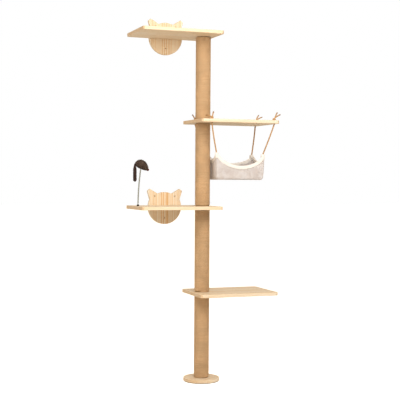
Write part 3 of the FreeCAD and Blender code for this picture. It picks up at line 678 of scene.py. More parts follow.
def fibre_tufts(roots, ways, lengths, thickness, droop, chance):
    """Thin three-sided fibres, each bent away from its first direction and drawn out to a point."""
    count = len(roots)
    steps = np.linspace(0, 1, 4)
    bend = chance.normal(size=(count, 3)) * droop
    reach = ways[:, None] * steps[:, None] + bend[:, None] * steps[:, None] ** 2
    spine = roots[:, None] + reach * lengths[:, None, None]
    side = unit(np.cross(ways, (0.31, 0.52, 0.79)))
    other = np.cross(ways, side)
    corners = []
    for k in range(3):
        angle = 2 * math.pi * k / 3
        spoke = side * math.cos(angle) + other * math.sin(angle)
        corners.append(spine[:, :3] + spoke[:, None] * thickness * (1 - 0.7 * steps[None, :3, None]))
    rings = np.stack(corners, 2).reshape(count, 9, 3)
    points = np.concatenate([rings, spine[:, 3:]], 1)
    pattern = [(2, 1, 0)]
    for ring in range(2):
        for k in range(3):
            near, far = ring * 3, ring * 3 + 3
            after = (k + 1) % 3
            pattern.append((near + k, near + after, far + after, far + k))
    pattern += [(6, 7, 9), (7, 8, 9), (8, 6, 9)]
    faces = [tuple(i + 10 * n for i in face) for n in range(count) for face in pattern]
    corner_count = sum(len(face) for face in pattern)
    return points.reshape(-1, 3), faces, np.zeros((corner_count * count, 2))


def laid_fibre(name, dark, middle, pale, furrow_shade, lay, strands, fibre_mm):
    """Twisted plant fibre, dry and matt: pale crowns, painted shade in the furrows between strands,
    and fine fibres that wind with them. Its tone drifts from one hand's breadth to the next."""
    cord = new_material(name)
    uv = add_node(cord, "UVMap", uv_map="UVMap")
    axes = add_node(cord, "SeparateXYZ", {"Vector": uv})
    length_turns = add_node(cord, "Math", {0: axes.outputs["X"], 1: strands / lay}, operation="MULTIPLY")
    strand = add_node(cord, "Math", {
        0: axes.outputs["Y"], 1: strands, 2: length_turns,
    }, operation="MULTIPLY_ADD")
    ridge = add_node(cord, "Math", {0: strand, 1: 0.5}, operation="PINGPONG")
    crown = add_node(cord, "MapRange", {"Value": ridge, "From Max": 0.5}, interpolation_type="SMOOTHSTEP")
    place = add_node(cord, "TexCoord")
    fine = add_node(cord, "Math", {0: axes.outputs["X"], 1: METRE_MM / FIBRE_RUN_MM}, operation="MULTIPLY")
    wound = add_node(cord, "Math", {0: strand, 1: 5.0 / fibre_mm}, operation="MULTIPLY")
    fibre_place = add_node(cord, "CombineXYZ", {"X": fine, "Y": wound})
    fibre = add_node(cord, "TexNoise", {
        "Vector": fibre_place, "Scale": 1.0, "Detail": 3.0, "Roughness": 0.6,
    })
    tint = add_node(cord, "ValToRGB", {"Fac": fibre}, stops=[(0.25, dark), (0.5, middle), (0.75, pale)])
    # Painted shade: the furrows between the strands are darkened towards the furrow shade colour, and the
    # crowns keep the fibre's own colour.
    painted_furrow_shade = add_node(cord, "ValToRGB", {"Fac": crown}, stops=[(0.0, furrow_shade), (0.45, "#FFFFFF")])
    laid = add_node(cord, "MixRGB", {"Fac": 0.55, "Color1": tint, "Color2": painted_furrow_shade}, blend_type="MULTIPLY")
    # Batches of fibre differ in tone over a hand's breadth, and from one turn to the next.
    batch = add_node(cord, "TexNoise", {
        "Vector": place.outputs["Object"], "Scale": METRE_MM / BATCH_MM, "Detail": 2.0,
    })
    turn_tone = add_node(cord, "TexNoise", {"Vector": uv, "Scale": METRE_MM / TURN_TONE_MM, "Detail": 1.0})
    both = add_node(cord, "Math", {0: batch, 1: turn_tone}, operation="ADD")
    tone = add_node(cord, "MapRange", {
        "Value": both, "From Min": 0.7, "From Max": 1.3, "To Min": 0.82, "To Max": 1.08,
    })
    colour = add_node(cord, "VectorMath", {0: laid, "Scale": tone}, operation="SCALE")
    relief = add_node(cord, "Math", {0: fibre, 1: 0.35, 2: crown}, operation="MULTIPLY_ADD")
    bump = add_node(cord, "Bump", {"Height": relief, "Strength": 0.8, "Distance": 0.0007})
    rough = add_node(cord, "MapRange", {"Value": fibre, "To Min": 0.95, "To Max": 0.75})
    return lay_surface(cord, {
        "Base Color": colour, "Roughness": rough, "Specular IOR Level": 0.25, "Sheen Weight": 0.12,
        "Sheen Roughness": 0.4, "Sheen Tint": linear(FIBRE_SHEEN), "Normal": bump,
    })


sisal_material = laid_fibre(
    "laid_sisal", SISAL_DARK, SISAL_MIDDLE, SISAL_PALE, SISAL_FURROW_PAINTED_SHADE,
    CORD_LAY, SISAL_STRANDS, SISAL_FIBRE_MM,
)

for level in (1, 2, 3, 4):
    low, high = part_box(f"sisal_wrap_{level}")
    chance = np.random.default_rng(level)
    winding_radius = (high.x - low.x) / 2 - CORD_RADIUS
    turns = round((high.z - low.z) / (2 * CORD_RADIUS)) - 1
    angle = np.linspace(0, 2 * np.pi * turns, turns * TURN_STEPS + 1) + level * WINDING_START
    # A hand-guided winding is never quite even: each turn leans a little on the last.
    turn_number = (angle - angle[0]) / (2 * np.pi)
    ease = np.clip(np.minimum(turn_number, turns - turn_number), 0, 1)
    wander = np.interp(turn_number, np.arange(turns + 1), chance.normal(0, TURN_WANDER, turns + 1)) * ease
    quarters = np.arange(0, turns + 1, 0.25)
    swell = np.interp(turn_number, quarters, chance.normal(0, TURN_SWELL, len(quarters)))
    reach = winding_radius - 0.0001 + swell
    height = low.z + CORD_RADIUS + turn_number * (high.z - low.z - 2 * CORD_RADIUS) / turns + wander
    path = np.stack([reach * np.cos(angle), reach * np.sin(angle), height], 1)
    cord = tube(path, CORD_RADIUS, CORD_SIDES)
    spots = chance.integers(TURN_STEPS, len(path) - TURN_STEPS, STRAY_FIBRES)
    outward = np.stack([np.cos(angle[spots]), np.sin(angle[spots]), 0 * spots], 1)
    forward = np.stack([-outward[:, 1], outward[:, 0], chance.normal(0, 0.5, STRAY_FIBRES)], 1)
    leaning = unit(outward * 0.45 + forward * chance.choice([-1, 1], STRAY_FIBRES)[:, None])
    lengths = chance.uniform(0.4, 1.0, STRAY_FIBRES) * STRAY_FIBRE_LENGTH
    roots = path[spots] + outward * CORD_RADIUS * 0.9
    strays = fibre_tufts(roots, leaning, lengths, STRAY_FIBRE_RADIUS, 0.25, chance)
    points, faces, loop_uv = join_tubes([cord, strays])
    winding = mesh_piece(f"sisal_winding_{level}", points, faces, sisal_material, loop_uv)
    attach(winding, "root")
    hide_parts(f"sisal_wrap_{level}")


# ---------------------------------------------------------------- Hammock ropes
# Four 6 mm three-strand jute ropes. Each comes down through its hole in the third board and
# runs, pulled straight by the hammock's weight, into a sewn corner. The front ones catch the
# light; all are dry, hairy and honey brown.

ROPE_DIAMETER = 0.006
ROPE_CROWN = 1.12
ROPE_LAY = 0.021
ROPE_HOLE_X = {"left": 0.003, "right": 0.326}
ROPE_HOLE_Y = 0.115
ROPE_TOP_Z = 1.2467
ROPE_FOOT_X = {"left": 0.046, "right": 0.287}
ROPE_FOOT_Y = 0.068
ROPE_FOOT_Z = {"left": 1.105, "right": 1.099}
ROPE_BOW = 0.003
ROPE_BOW_SHARE = 0.42
ROPE_STEP = 0.0009
JUTE_DARK = "#B48F66"
JUTE_MIDDLE = "#DDB88B"
JUTE_PALE = "#EED5B0"
# Painted shade: the colour that darkens the furrows between the rope's yarns.
JUTE_FURROW_PAINTED_SHADE = "#9C7045"
YARN_LAY = 0.0075
YARNS = 2
JUTE_FIBRE_MM = 0.4
ROPE_HAIRS = 90
HAIR_LENGTH = 0.003
HAIR_RADIUS = 0.00009
CORNERS = ("front_left", "front_right", "back_left", "back_right")

jute_material = laid_fibre(
    "laid_jute", JUTE_DARK, JUTE_MIDDLE, JUTE_PALE, JUTE_FURROW_PAINTED_SHADE, YARN_LAY, YARNS, JUTE_FIBRE_MM,
)


def smooth_route(points, step):
    """Evenly spaced points along the NURBS curve that has the given control points."""
    data = bpy.data.curves.new("route", "CURVE")
    data.dimensions = "3D"
    data.resolution_u = 64
    spline = data.splines.new("NURBS")
    spline.points.add(len(points) - 1)
    for control, point in zip(spline.points, points):
        control.co = (*point, 1.0)
    spline.order_u = 3
    spline.use_endpoint_u = True
    holder = bpy.data.objects.new("route", data)
    mesh = bpy.data.meshes.new_from_object(holder)
    line = np.array([v.co for v in mesh.vertices], float)
    bpy.data.meshes.remove(mesh)
    bpy.data.curves.remove(data)
    travelled = run_along(line)
    spaced = np.linspace(0, travelled[-1], max(2, round(travelled[-1] / step)) + 1)
    return np.stack([np.interp(spaced, travelled, line[:, axis]) for axis in range(3)], 1)


def laid_rope(path, diameter, lay, sides=8):
    """Three strands twisted round a line, as one rope of the given diameter."""
    strand_radius = diameter / 2 / (1 + 2 / math.sqrt(3))
    strand_reach = strand_radius * 2 / math.sqrt(3)
    across, upward = sides_along(path)
    travelled = run_along(path)
    strands = []
    for k in range(3):
        angle = (2 * np.pi * (travelled / lay + k / 3))[:, None]
        line = path + (across * np.cos(angle) + upward * np.sin(angle)) * strand_reach
        strands.append(tube(line, strand_radius, sides))
    return strands


def rope_hairs(path, diameter, count, chance):
    """Loose fibres that stand off a rope."""
    spots = chance.integers(2, len(path) - 2, count)
    ways = unit(np.gradient(path, axis=0)[spots])
    out = unit(np.cross(ways, chance.normal(size=(count, 3))))
    lengths = chance.uniform(0.4, 1, count) * HAIR_LENGTH
    roots = path[spots] + out * diameter * 0.42
    return fibre_tufts(roots, unit(out * 0.6 + ways), lengths, HAIR_RADIUS, 0.2, chance)


def hole_of(corner):
    """Where a corner's rope passes through the board, at the height of its upper end."""
    deep, across = corner.split("_")
    return Vector((ROPE_HOLE_X[across], ROPE_HOLE_Y * (-1 if deep == "front" else 1), ROPE_TOP_Z))


def foot_of(corner):
    """Where a corner's rope ends, in its sewn sleeve."""
    deep, across = corner.split("_")
    return Vector((ROPE_FOOT_X[across], ROPE_FOOT_Y * (-1 if deep == "front" else 1), ROPE_FOOT_Z[across]))


ropes = {}
for number, corner in enumerate(CORNERS):
    chance = np.random.default_rng(40 + number)
    top, foot = hole_of(corner), foot_of(corner)
    outward = 1 if corner.endswith("right") else -1
    bend = top + (foot - top) * ROPE_BOW_SHARE + Vector((outward * ROPE_BOW, 0, 0))
    path = smooth_route([top, bend, foot], ROPE_STEP)
    hairs = rope_hairs(path, ROPE_DIAMETER, ROPE_HAIRS, chance)
    points, faces, loop_uv = join_tubes(laid_rope(path, ROPE_DIAMETER * ROPE_CROWN, ROPE_LAY) + [hairs])
    rope = mesh_piece(f"jute_rope_{corner}", points, faces, jute_material, loop_uv)
    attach(rope, "front_ropes" if corner.startswith("front") else "back_ropes")
    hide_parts(f"hammock_rope_{corner}")
    ropes[corner] = (rope, path)


# ---------------------------------------------------------------- Rope knots
# On top of the third board each rope is stopped by an overhand knot that sits on its hole.
# The knot's two loose ends stand up in a V, and their cut tips have opened into fibres.

LOOSE_DIAMETER = 0.0060
LOOSE_LENGTH = 0.038
KNOT_TURN_RADIUS = 0.0054
KNOT_CORD = 0.0070
KNOT_TURNS = 1.6
KNOT_FOOT = 0.0028
KNOT_RISE = 0.0062
KNOT_STEPS = 12
KNOT_HAIRS = 40
LOOSE_HAIRS = 25
FRAY_FIBRES = 110
FRAY_LENGTH = 0.0085
FRAY_RADIUS = 0.0003
LOOSE_TIPS = {
    "front_left": ((-0.80, -0.17, 0.50), (0.16, -0.11, 0.92)),
    "front_right": ((0.37, -0.14, 1.07), (0.92, 0.08, 0.87)),
    "back_left": ((-0.33, 0.14, 0.87), (0.24, 0.25, 1.12)),
    "back_right": ((0.45, -0.11, 1.08), (1.08, 0.14, 0.90)),
}

board_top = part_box("board_3")[1].z
for number, corner in enumerate(CORNERS):
    chance = np.random.default_rng(70 + number)
    hole = Vector((hole_of(corner).x, hole_of(corner).y, board_top))
    shapes = []
    # The stub comes up the hole, and the knot is one turn and a half of rope round it.
    stub_heights = (ROPE_TOP_Z - 0.002, board_top - 0.006, board_top + 0.005)
    stub = smooth_route([(hole.x, hole.y, z) for z in stub_heights], ROPE_STEP)
    shapes += laid_rope(stub, ROPE_DIAMETER, ROPE_LAY)
    start = chance.uniform(0, 2 * math.pi)
    wrap = []
    for step in range(KNOT_STEPS + 1):
        share = step / KNOT_STEPS
        turn = start + 2 * math.pi * KNOT_TURNS * share
        spread = KNOT_TURN_RADIUS * (1.05 - 0.25 * share)
        rise = KNOT_FOOT + KNOT_RISE * share
        wrap.append((hole.x + spread * math.cos(turn), hole.y + spread * math.sin(turn), board_top + rise))
    wrap_line = smooth_route(wrap, ROPE_STEP)
    shapes += laid_rope(wrap_line, KNOT_CORD, ROPE_LAY)
    for way_out, tip in enumerate(LOOSE_TIPS[corner]):
        tip_place = hole + Vector(tip) * LOOSE_LENGTH
        flat = Vector((tip[0], tip[1], 0)).normalized()
        low_point = hole + Vector((0, 0, 0.006)) - flat * 0.002
        middle = hole + Vector((0, 0, 0.011)) + flat * 0.0035 + Vector((0, 0, 0.002 * way_out))
        shoulder = hole.lerp(tip_place, 0.62) + Vector((0, 0, 0.0035))
        end = hole.lerp(tip_place, 0.84)
        line = smooth_route([low_point, middle, shoulder, end], ROPE_STEP)
        shapes += laid_rope(line, LOOSE_DIAMETER, ROPE_LAY * 0.8)
        shapes.append(rope_hairs(line, LOOSE_DIAMETER, LOOSE_HAIRS, chance))
        last_way = np.array((end - shoulder).normalized())
        roots = np.array(end) + chance.normal(0, 0.0008, (FRAY_FIBRES, 3)) - last_way * 0.0015
        ways = unit(last_way + chance.normal(0, 0.22, (FRAY_FIBRES, 3)))
        lengths = chance.uniform(0.6, 1.0, FRAY_FIBRES) * FRAY_LENGTH
        shapes.append(fibre_tufts(roots, ways, lengths, FRAY_RADIUS, 0.15, chance))
    shapes.append(rope_hairs(wrap_line, KNOT_CORD, KNOT_HAIRS, chance))
    points, faces, loop_uv = join_tubes(shapes)
    knot = mesh_piece(f"jute_knot_{corner}", points, faces, jute_material, loop_uv)
    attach(knot, "root")
    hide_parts(f"rope_knot_{corner}")
    rope, path = ropes[corner]


# ---------------------------------------------------------------- Hammock cloth
# Cream plush with a short brushed pile: a floor and four sides sewn into a soft box and
# drawn up at the corners. It hangs slack between them, so soft folds run in from each one.

HAMMOCK_MIDDLE_X = 0.1705
HAMMOCK_LENGTH = 0.254
HAMMOCK_WIDTH = 0.146
HAMMOCK_HEIGHT = 0.120
HAMMOCK_BOTTOM = 0.9787
RIM_UNDER_FOOT = 0.0083
CORNER_ROUND = 0.009
FLOOR_INSET = 0.007
SIDE_SAGS = (0.048, 0.022, 0.034, 0.024)
SIDE_WAVES = (5, 3, 5, 3)
SIDE_COLUMNS = (60, 34, 60, 34)
CORNER_COLUMNS = 10
WALL_ROWS = 30
WALL_LEVELS = (0, 0.07, 0.3, 0.65, 1)
FLOOR_RINGS = 16
FOLD_DEPTH = 0.0026
CORNER_FAN_DEPTH = 0.0013
CLOTH_THICKNESS = 0.004
RIM_COVER = 0.006
CORNER_PEAK = 0.007
CORNER_PEAK_REACH = 0.016
SLACK = 0.035
SIMULATED_FRAMES = 36
DEEPEST_SHIFT = 0.0045
DEEPEST_FLOOR_SHIFT = 0.0012
PLUSH_DEEP = "#C7C2C1"
PLUSH_PALE = "#DBD8D8"
PLUSH_SHADE = "#F3F0EE"
PILE_MM = 1.7
BRUSHED_PATCH_MM = 26.0


def plush():
    """Matt cream cloth: a mottled pile, brushed lighter and darker in hand-sized patches."""
    cloth = new_material("brushed_polyester_plush")
    place = add_node(cloth, "TexCoord")
    # The real pile is 0.3 mm fibre; it is drawn at 1.7 mm, so that it shows at all.
    pile = add_node(cloth, "TexNoise", {
        "Vector": place.outputs["Object"], "Scale": METRE_MM / PILE_MM, "Detail": 4.0, "Roughness": 0.65,
    })
    patches = add_node(cloth, "TexNoise", {
        "Vector": place.outputs["Object"], "Scale": METRE_MM / BRUSHED_PATCH_MM, "Detail": 2.0,
        "Distortion": 0.8,
    })
    tint = add_node(cloth, "ValToRGB", {"Fac": pile}, stops=[(0.3, PLUSH_DEEP), (0.65, PLUSH_PALE)])
    brushed = add_node(cloth, "ValToRGB", {"Fac": patches}, stops=[(0.35, PLUSH_SHADE), (0.65, "#FFFFFF")])
    colour = add_node(cloth, "MixRGB", {
        "Fac": 1.0, "Color1": tint, "Color2": brushed,
    }, blend_type="MULTIPLY")
    relief = add_node(cloth, "Math", {0: patches, 1: 0.8, 2: pile}, operation="MULTIPLY_ADD")
    bump = add_node(cloth, "Bump", {"Height": relief, "Strength": 0.6, "Distance": 0.0012})
    rough = add_node(cloth, "MapRange", {"Value": pile, "To Min": 0.98, "To Max": 0.86})
    return lay_surface(cloth, {
        "Base Color": colour, "Roughness": rough, "Specular IOR Level": 0.15, "Subsurface Weight": 0.5,
        "Subsurface Radius": (1.0, 0.92, 0.84), "Subsurface Scale": 0.008, "Sheen Weight": 0.25,
        "Sheen Roughness": 0.5, "Normal": bump,
    })


# Stations round the box: which side, how far along it, and how far round its corner.
stations = []
for side in range(4):
    stations += [(side, k / SIDE_COLUMNS[side], 0.0) for k in range(SIDE_COLUMNS[side])]
    stations += [(side, 1.0, k / CORNER_COLUMNS) for k in range(CORNER_COLUMNS)]
station_side = np.array([s[0] for s in stations])
station_along = np.array([s[1] for s in stations])
station_turn = np.array([s[2] for s in stations]) * np.pi / 2
side_way = np.array([(1.0, 0.0), (0.0, 1.0), (-1.0, 0.0), (0.0, -1.0)])[station_side]
side_out = np.array([(0.0, -1.0), (1.0, 0.0), (0.0, 1.0), (-1.0, 0.0)])[station_side]
outward_2d = side_out * np.cos(station_turn)[:, None] + side_way * np.sin(station_turn)[:, None]
is_long_side = station_side % 2 == 0


def box_outline(inset, depth):
    """Plan of the box at each station, drawn in by an inset, at a depth inside its outer face."""
    half_along = np.where(is_long_side, HAMMOCK_LENGTH, HAMMOCK_WIDTH) / 2 - inset - depth
    half_out = np.where(is_long_side, HAMMOCK_WIDTH, HAMMOCK_LENGTH) / 2 - inset - depth
    corner = CORNER_ROUND + inset - depth
    straight = half_along - corner
    along = (2 * station_along - 1) * straight + np.sin(station_turn) * corner
    out = half_out - corner + np.cos(station_turn) * corner
    plan = side_way * along[:, None] + side_out * out[:, None]
    return plan + np.array([HAMMOCK_MIDDLE_X, 0.0])


def smooth_round(values, spread):
    """Evens out values that run round the box."""
    reach = np.arange(-3 * spread, 3 * spread + 1)
    weights = np.exp(-0.5 * (reach / spread) ** 2)
    return sum(w * np.roll(values, int(s), axis=0) for w, s in zip(weights, reach)) / weights.sum()


# The rim hangs in an arc between each two corners.
half_chord = np.where(is_long_side, HAMMOCK_LENGTH, HAMMOCK_WIDTH) / 2 - CORNER_ROUND
sag = np.array(SIDE_SAGS)[station_side]
arc_radius = (half_chord ** 2 + sag ** 2) / (2 * sag)
from_middle = (2 * station_along - 1) * half_chord
arc_drop = np.sqrt(arc_radius ** 2 - from_middle ** 2) - (arc_radius - sag)
taut_drop = sag * (1 - np.abs(2 * station_along - 1) ** 1.4)
rim_drop = np.where(is_long_side, arc_drop, taut_drop)
from_corner = np.where(station_turn > 0, 0.0, half_chord * (1 - np.abs(2 * station_along - 1)))
rim_peak = CORNER_PEAK * np.exp(-(from_corner / CORNER_PEAK_REACH) ** 2)
# The right ropes let their corners hang a little lower than the left ones.
lean_x = [ROPE_FOOT_X[side] for side in ("left", "right")]
lean_z = [ROPE_FOOT_Z[side] - RIM_UNDER_FOOT for side in ("left", "right")]
corner_z = np.interp(box_outline(0.0, 0.0)[:, 0], lean_x, lean_z)
rim_z = corner_z - smooth_round(np.where(station_turn > 0, 0.0, rim_drop), 2) + rim_peak

# Folds: shallow waves half way up the sides, and a fan of creases in from each corner.
wave = np.sin(np.pi * np.array(SIDE_WAVES)[station_side] * station_along) * (station_turn == 0)
floor_z = HAMMOCK_BOTTOM + CLOTH_THICKNESS / 2
rows = []
for ring in range(1, FLOOR_RINGS + 1):
    share = (ring / FLOOR_RINGS) ** 0.9
    plan = box_outline(FLOOR_INSET, CLOTH_THICKNESS / 2)
    centre = np.array([HAMMOCK_MIDDLE_X, 0.0])
    rows.append(np.column_stack([centre + (plan - centre) * share, np.full(len(plan), floor_z)]))
for row in range(1, WALL_ROWS + 1):
    share = row / WALL_ROWS
    height = floor_z + share * (rim_z - RIM_COVER - floor_z)
    level = (height - floor_z) / HAMMOCK_HEIGHT
    inset = np.interp(level, WALL_LEVELS, np.array((1, 0.45, 0.15, 0, 0)) * FLOOR_INSET)
    fold = np.interp(level, WALL_LEVELS, np.array((0.1, 0.12, 1, 1, 0.1)) * FOLD_DEPTH) * (1 - share ** 4)
    below = corner_z - height
    fan = np.cos(9 * np.arctan2(below, from_corner + 0.001)) * np.exp(-np.hypot(below, from_corner) / 0.06)
    plan = box_outline(inset, CLOTH_THICKNESS / 2)
    fan_share = np.sin(np.pi * min(1.0, 1.15 * share))
    plan = plan + outward_2d * (wave * fold + fan * CORNER_FAN_DEPTH * fan_share)[:, None]
    rows.append(np.column_stack([plan, height]))
columns = len(stations)
points = np.concatenate([[[HAMMOCK_MIDDLE_X, 0.0, floor_z]]] + rows)
faces = [(0, 1 + k, 1 + (k + 1) % columns)[::-1] for k in range(columns)]
faces += ring_faces(len(rows), columns, 1)
plush_material = plush()
cloth = mesh_piece("hammock_cloth_drape", points, faces, plush_material)

# The cloth hangs from its rim under its own weight, a little longer than the box it fills.
held = cloth.vertex_groups.new(name="held")
top_row = 1 + (len(rows) - 1) * columns
held.add(list(range(top_row - columns, len(points))), 1.0, "REPLACE")
hang = cloth.modifiers.new("hang", "CLOTH")
hang.settings.quality = 6
hang.settings.mass = 0.2
hang.settings.tension_stiffness = 14.0
hang.settings.compression_stiffness = 14.0
hang.settings.shear_stiffness = 6.0
hang.settings.bending_stiffness = 0.35
hang.settings.vertex_group_mass = "held"
hang.settings.shrink_min = -SLACK
hang.collision_settings.use_collision = False
hang.point_cache.frame_end = SIMULATED_FRAMES
for frame_number in range(1, SIMULATED_FRAMES + 1):
    bpy.context.scene.frame_set(frame_number)
hung_cloth = cloth.evaluated_get(bpy.context.evaluated_depsgraph_get())
hung = np.array([v.co for v in hung_cloth.data.vertices])
cloth.modifiers.remove(hang)
cloth.vertex_groups.clear()
bpy.context.scene.frame_set(1)
# Its seams and filling keep it near its cut: folds stand out, and hardly sink in.
shift = hung - points
cloth_outward = np.array([v.normal for v in cloth.data.vertices])
sunk = np.minimum(0, (shift * cloth_outward).sum(axis=1) + DEEPEST_FLOOR_SHIFT)
shift = shift - cloth_outward * sunk[:, None]
size = np.linalg.norm(shift, axis=1)[:, None] + 1e-9
in_floor = 1 + FLOOR_RINGS * columns
limit = np.where(np.arange(len(points)) < in_floor, DEEPEST_FLOOR_SHIFT, DEEPEST_SHIFT)[:, None]
points = points + shift / size * limit * np.tanh(size / limit)

cloth.data.vertices.foreach_set("co", points.ravel())
cloth.data.update()
normals = np.array([v.normal for v in cloth.data.vertices])
outer = points + normals * CLOTH_THICKNESS / 2
inner = points - normals * CLOTH_THICKNESS / 2
count = len(points)
edge = 1 + (len(rows) - 1) * columns
both = list(faces) + [tuple(i + count for i in face)[::-1] for face in faces]
for k in range(columns):
    after = (k + 1) % columns
    both.append((edge + k, edge + after, edge + count + after, edge + count + k))
hammock_cloth = mesh_piece("plush_hammock_cloth", np.concatenate([outer, inner]), both, plush_material)
bpy.data.objects.remove(cloth)
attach(hammock_cloth, "hammock")
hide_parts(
    "hammock_floor", "hammock_front", "hammock_back", "hammock_end_left", "hammock_end_right",
)


# ---------------------------------------------------------------- Hammock binding
# A bright white knitted tape, folded over the cloth's raw rim and sewn through both sides.
# It rounds over at the top, puckers a little at each stitch, and sweeps up to the corners.

TAPE_HALF_THICKNESS = 0.0033
TAPE_WIDTH = 0.0168
STITCH_PITCH = 0.0036
STITCH_LENGTH = 0.0024
STITCH_DEPTH = 0.0128
STITCH_RADIUS = 0.00032
TAPE_PALE = "#F1EFEC"
TAPE_DEEP = "#E4E0DB"
TAPE_LOOP_MM = 1.3


def knitted_tape():
    """White knitted tape: rows of small loops, almost without shine."""
    tape = new_material("white_knitted_tape")
    place = add_node(tape, "TexCoord")
    # The real loops are 0.5 mm; they are drawn at 1.3 mm, so that they show at all.
    loops = add_node(tape, "TexVoronoi", {
        "Vector": place.outputs["Object"], "Scale": METRE_MM / TAPE_LOOP_MM,
    })
    colour = add_node(tape, "ValToRGB", {"Fac": loops}, stops=[(0.1, TAPE_PALE), (0.7, TAPE_DEEP)])
    bump = add_node(tape, "Bump", {"Height": loops, "Strength": 0.4, "Distance": 0.0004}, invert=True)
    rough = add_node(tape, "MapRange", {"Value": loops, "To Min": 0.78, "To Max": 0.92})
    return lay_surface(tape, {
        "Base Color": colour, "Roughness": rough, "Specular IOR Level": 0.2, "Sheen Weight": 0.15,
        "Normal": bump,
    })


tape_material = knitted_tape()
rim_line = np.column_stack([box_outline(0.0, CLOTH_THICKNESS / 2), rim_z])
rim_way = unit(np.roll(rim_line, -1, axis=0) - np.roll(rim_line, 1, axis=0))
rim_out = np.column_stack([outward_2d, np.zeros(columns)])
rim_down = np.cross(rim_way, rim_out)
rim_down *= np.where(rim_down[:, 2] > 0, -1, 1)[:, None]
rim_down = unit(smooth_round(rim_down * 0.6 + np.array([0, 0, -0.4]), 3))
rim_run = run_along(rim_line)
pucker = np.cos(2 * np.pi * rim_run / STITCH_PITCH) * 0.5 + np.sin(rim_run * 260.0) * 0.5
half_profile = (
    (0.00, 0.0), (0.45, 0.03), (0.80, 0.10), (1.00, 0.24), (1.04, 0.42), (1.00, 0.60),
    (0.92, 0.72), (0.84, 0.80), (0.90, 0.88), (0.92, 0.96), (0.72, 1.00),
)
profile = list(half_profile) + [(-out, down) for out, down in half_profile[:0:-1]]
tape_rows = []
for out, down in profile:
    quiver = 0.00018 * pucker * (1 if down > 0.5 else 0.5) * np.sign(out)
    place = rim_line + rim_down * (down * TAPE_WIDTH + 0.0002 * pucker * (down > 0.9))[:, None]
    tape_rows.append(place + rim_out * (out * TAPE_HALF_THICKNESS + quiver)[:, None])
tape_points = np.concatenate(tape_rows)
tape_faces = []
for row in range(len(profile)):
    low, high = row * columns, (row + 1) % len(profile) * columns
    for k in range(columns):
        after = (k + 1) % columns
        tape_faces.append((low + k, high + k, high + after, low + after))
tape_band = (tape_points, tape_faces, np.zeros((4 * len(tape_faces), 2)))

stitches = []
stitch_line = rim_line + rim_down * STITCH_DEPTH
closed_run = np.append(rim_run, rim_run[-1] + np.linalg.norm(rim_line[0] - rim_line[-1]))
for start in np.arange(0.0, closed_run[-1] - STITCH_LENGTH, STITCH_PITCH):
    spots = start + STITCH_LENGTH * np.array([0.0, 0.2, 0.8, 1.0])

    def along_rim(values):
        """Values of the rim's stations at the stitch's four spots."""
        looped = np.concatenate([values, values[:1]])
        return np.stack([np.interp(spots, closed_run, looped[:, axis]) for axis in range(3)], 1)

    for face_side in (-1, 1):
        lift = np.array([0.78, 0.96, 0.96, 0.78])[:, None] * TAPE_HALF_THICKNESS * face_side
        radii = STITCH_RADIUS * np.array([0.5, 1.0, 1.0, 0.5])
        stitches.append(tube(along_rim(stitch_line) + along_rim(rim_out) * lift, radii, 5))
points, faces, loop_uv = join_tubes([tape_band] + stitches)
binding = mesh_piece("folded_rim_binding", points, faces, tape_material, loop_uv)
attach(binding, "hammock")
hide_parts("hammock_binding")


# ---------------------------------------------------------------- Corner sleeves
# At each corner the tape is gathered into a pointed sleeve round the rope's knot. Its pleats
# run down into the cloth. The back sleeves are wider, so that their knots have some play.

SLEEVE_SIDES = 72
SLEEVE_PLEATS = 9
BACK_PLAY = 0.0038
SLEEVE_PROFILE = (
    (0.0026, -0.0260, 0.2), (0.0042, -0.0210, 0.6), (0.0062, -0.0160, 1.0), (0.0080, -0.0115, 1.0),
    (0.0089, -0.0080, 0.9), (0.0090, -0.0045, 0.7), (0.0087, -0.0010, 0.5), (0.0084, 0.0012, 0.4),
    (0.0079, 0.0026, 0.3), (0.0071, 0.0036, 0.2), (0.0063, 0.0038, 0.1), (0.0058, 0.0032, 0.0),
    (0.0060, 0.0018, 0.0), (0.0064, 0.0, 0.0), (0.0060, -0.0025, 0.0), (0.0044, -0.0048, 0.0),
    (0.0018, -0.0062, 0.0),
)
PLEAT_DEPTH = 0.0004

for corner in CORNERS:
    foot = foot_of(corner)
    across = 1 if corner.endswith("right") else -1
    deep = 1 if corner.startswith("back") else -1
    play = BACK_PLAY if deep > 0 else 0.0
    inward = np.array([-across, -deep]) / math.sqrt(2)
    turn = np.arange(SLEEVE_SIDES) * 2 * np.pi / SLEEVE_SIDES
    points = []
    for radius, rise, pleat in SLEEVE_PROFILE:
        # Below the rim the gather leans out into the corner's seam, and narrows into the cloth.
        lean = min(0.0, rise + 0.008) * 0.17
        slack_play = play * min(1.0, max(0.0, (rise + 0.03) / 0.02))
        pleats = np.cos(SLEEVE_PLEATS * turn + 2.5 * math.sin(40 * rise + across))
        reach = radius + PLEAT_DEPTH * pleat * pleats
        plan_x = foot.x + inward[0] * lean + reach * np.cos(turn)
        plan_y = foot.y + inward[1] * lean + reach * np.sin(turn) + slack_play * np.tanh(6 * np.sin(turn))
        points.append(np.column_stack([plan_x, plan_y, np.full(SLEEVE_SIDES, foot.z + rise)]))
    faces = ring_faces(len(SLEEVE_PROFILE), SLEEVE_SIDES)
    last = (len(SLEEVE_PROFILE) - 1) * SLEEVE_SIDES
    faces.append(tuple(last + k for k in range(SLEEVE_SIDES)))
    faces.append(tuple(range(SLEEVE_SIDES))[::-1])
    sleeve = mesh_piece(f"gathered_sleeve_{corner}", np.concatenate(points), faces, tape_material)
    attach(sleeve, "hammock")
    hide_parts(f"corner_sleeve_{corner}")


# ---------------------------------------------------------------- Spring of the toy
# One length of 1.5 mm zinc-plated spring wire, wound into a close coil on a small forged
# ball. The ball sits in a turned steel socket that is screwed into the second board.

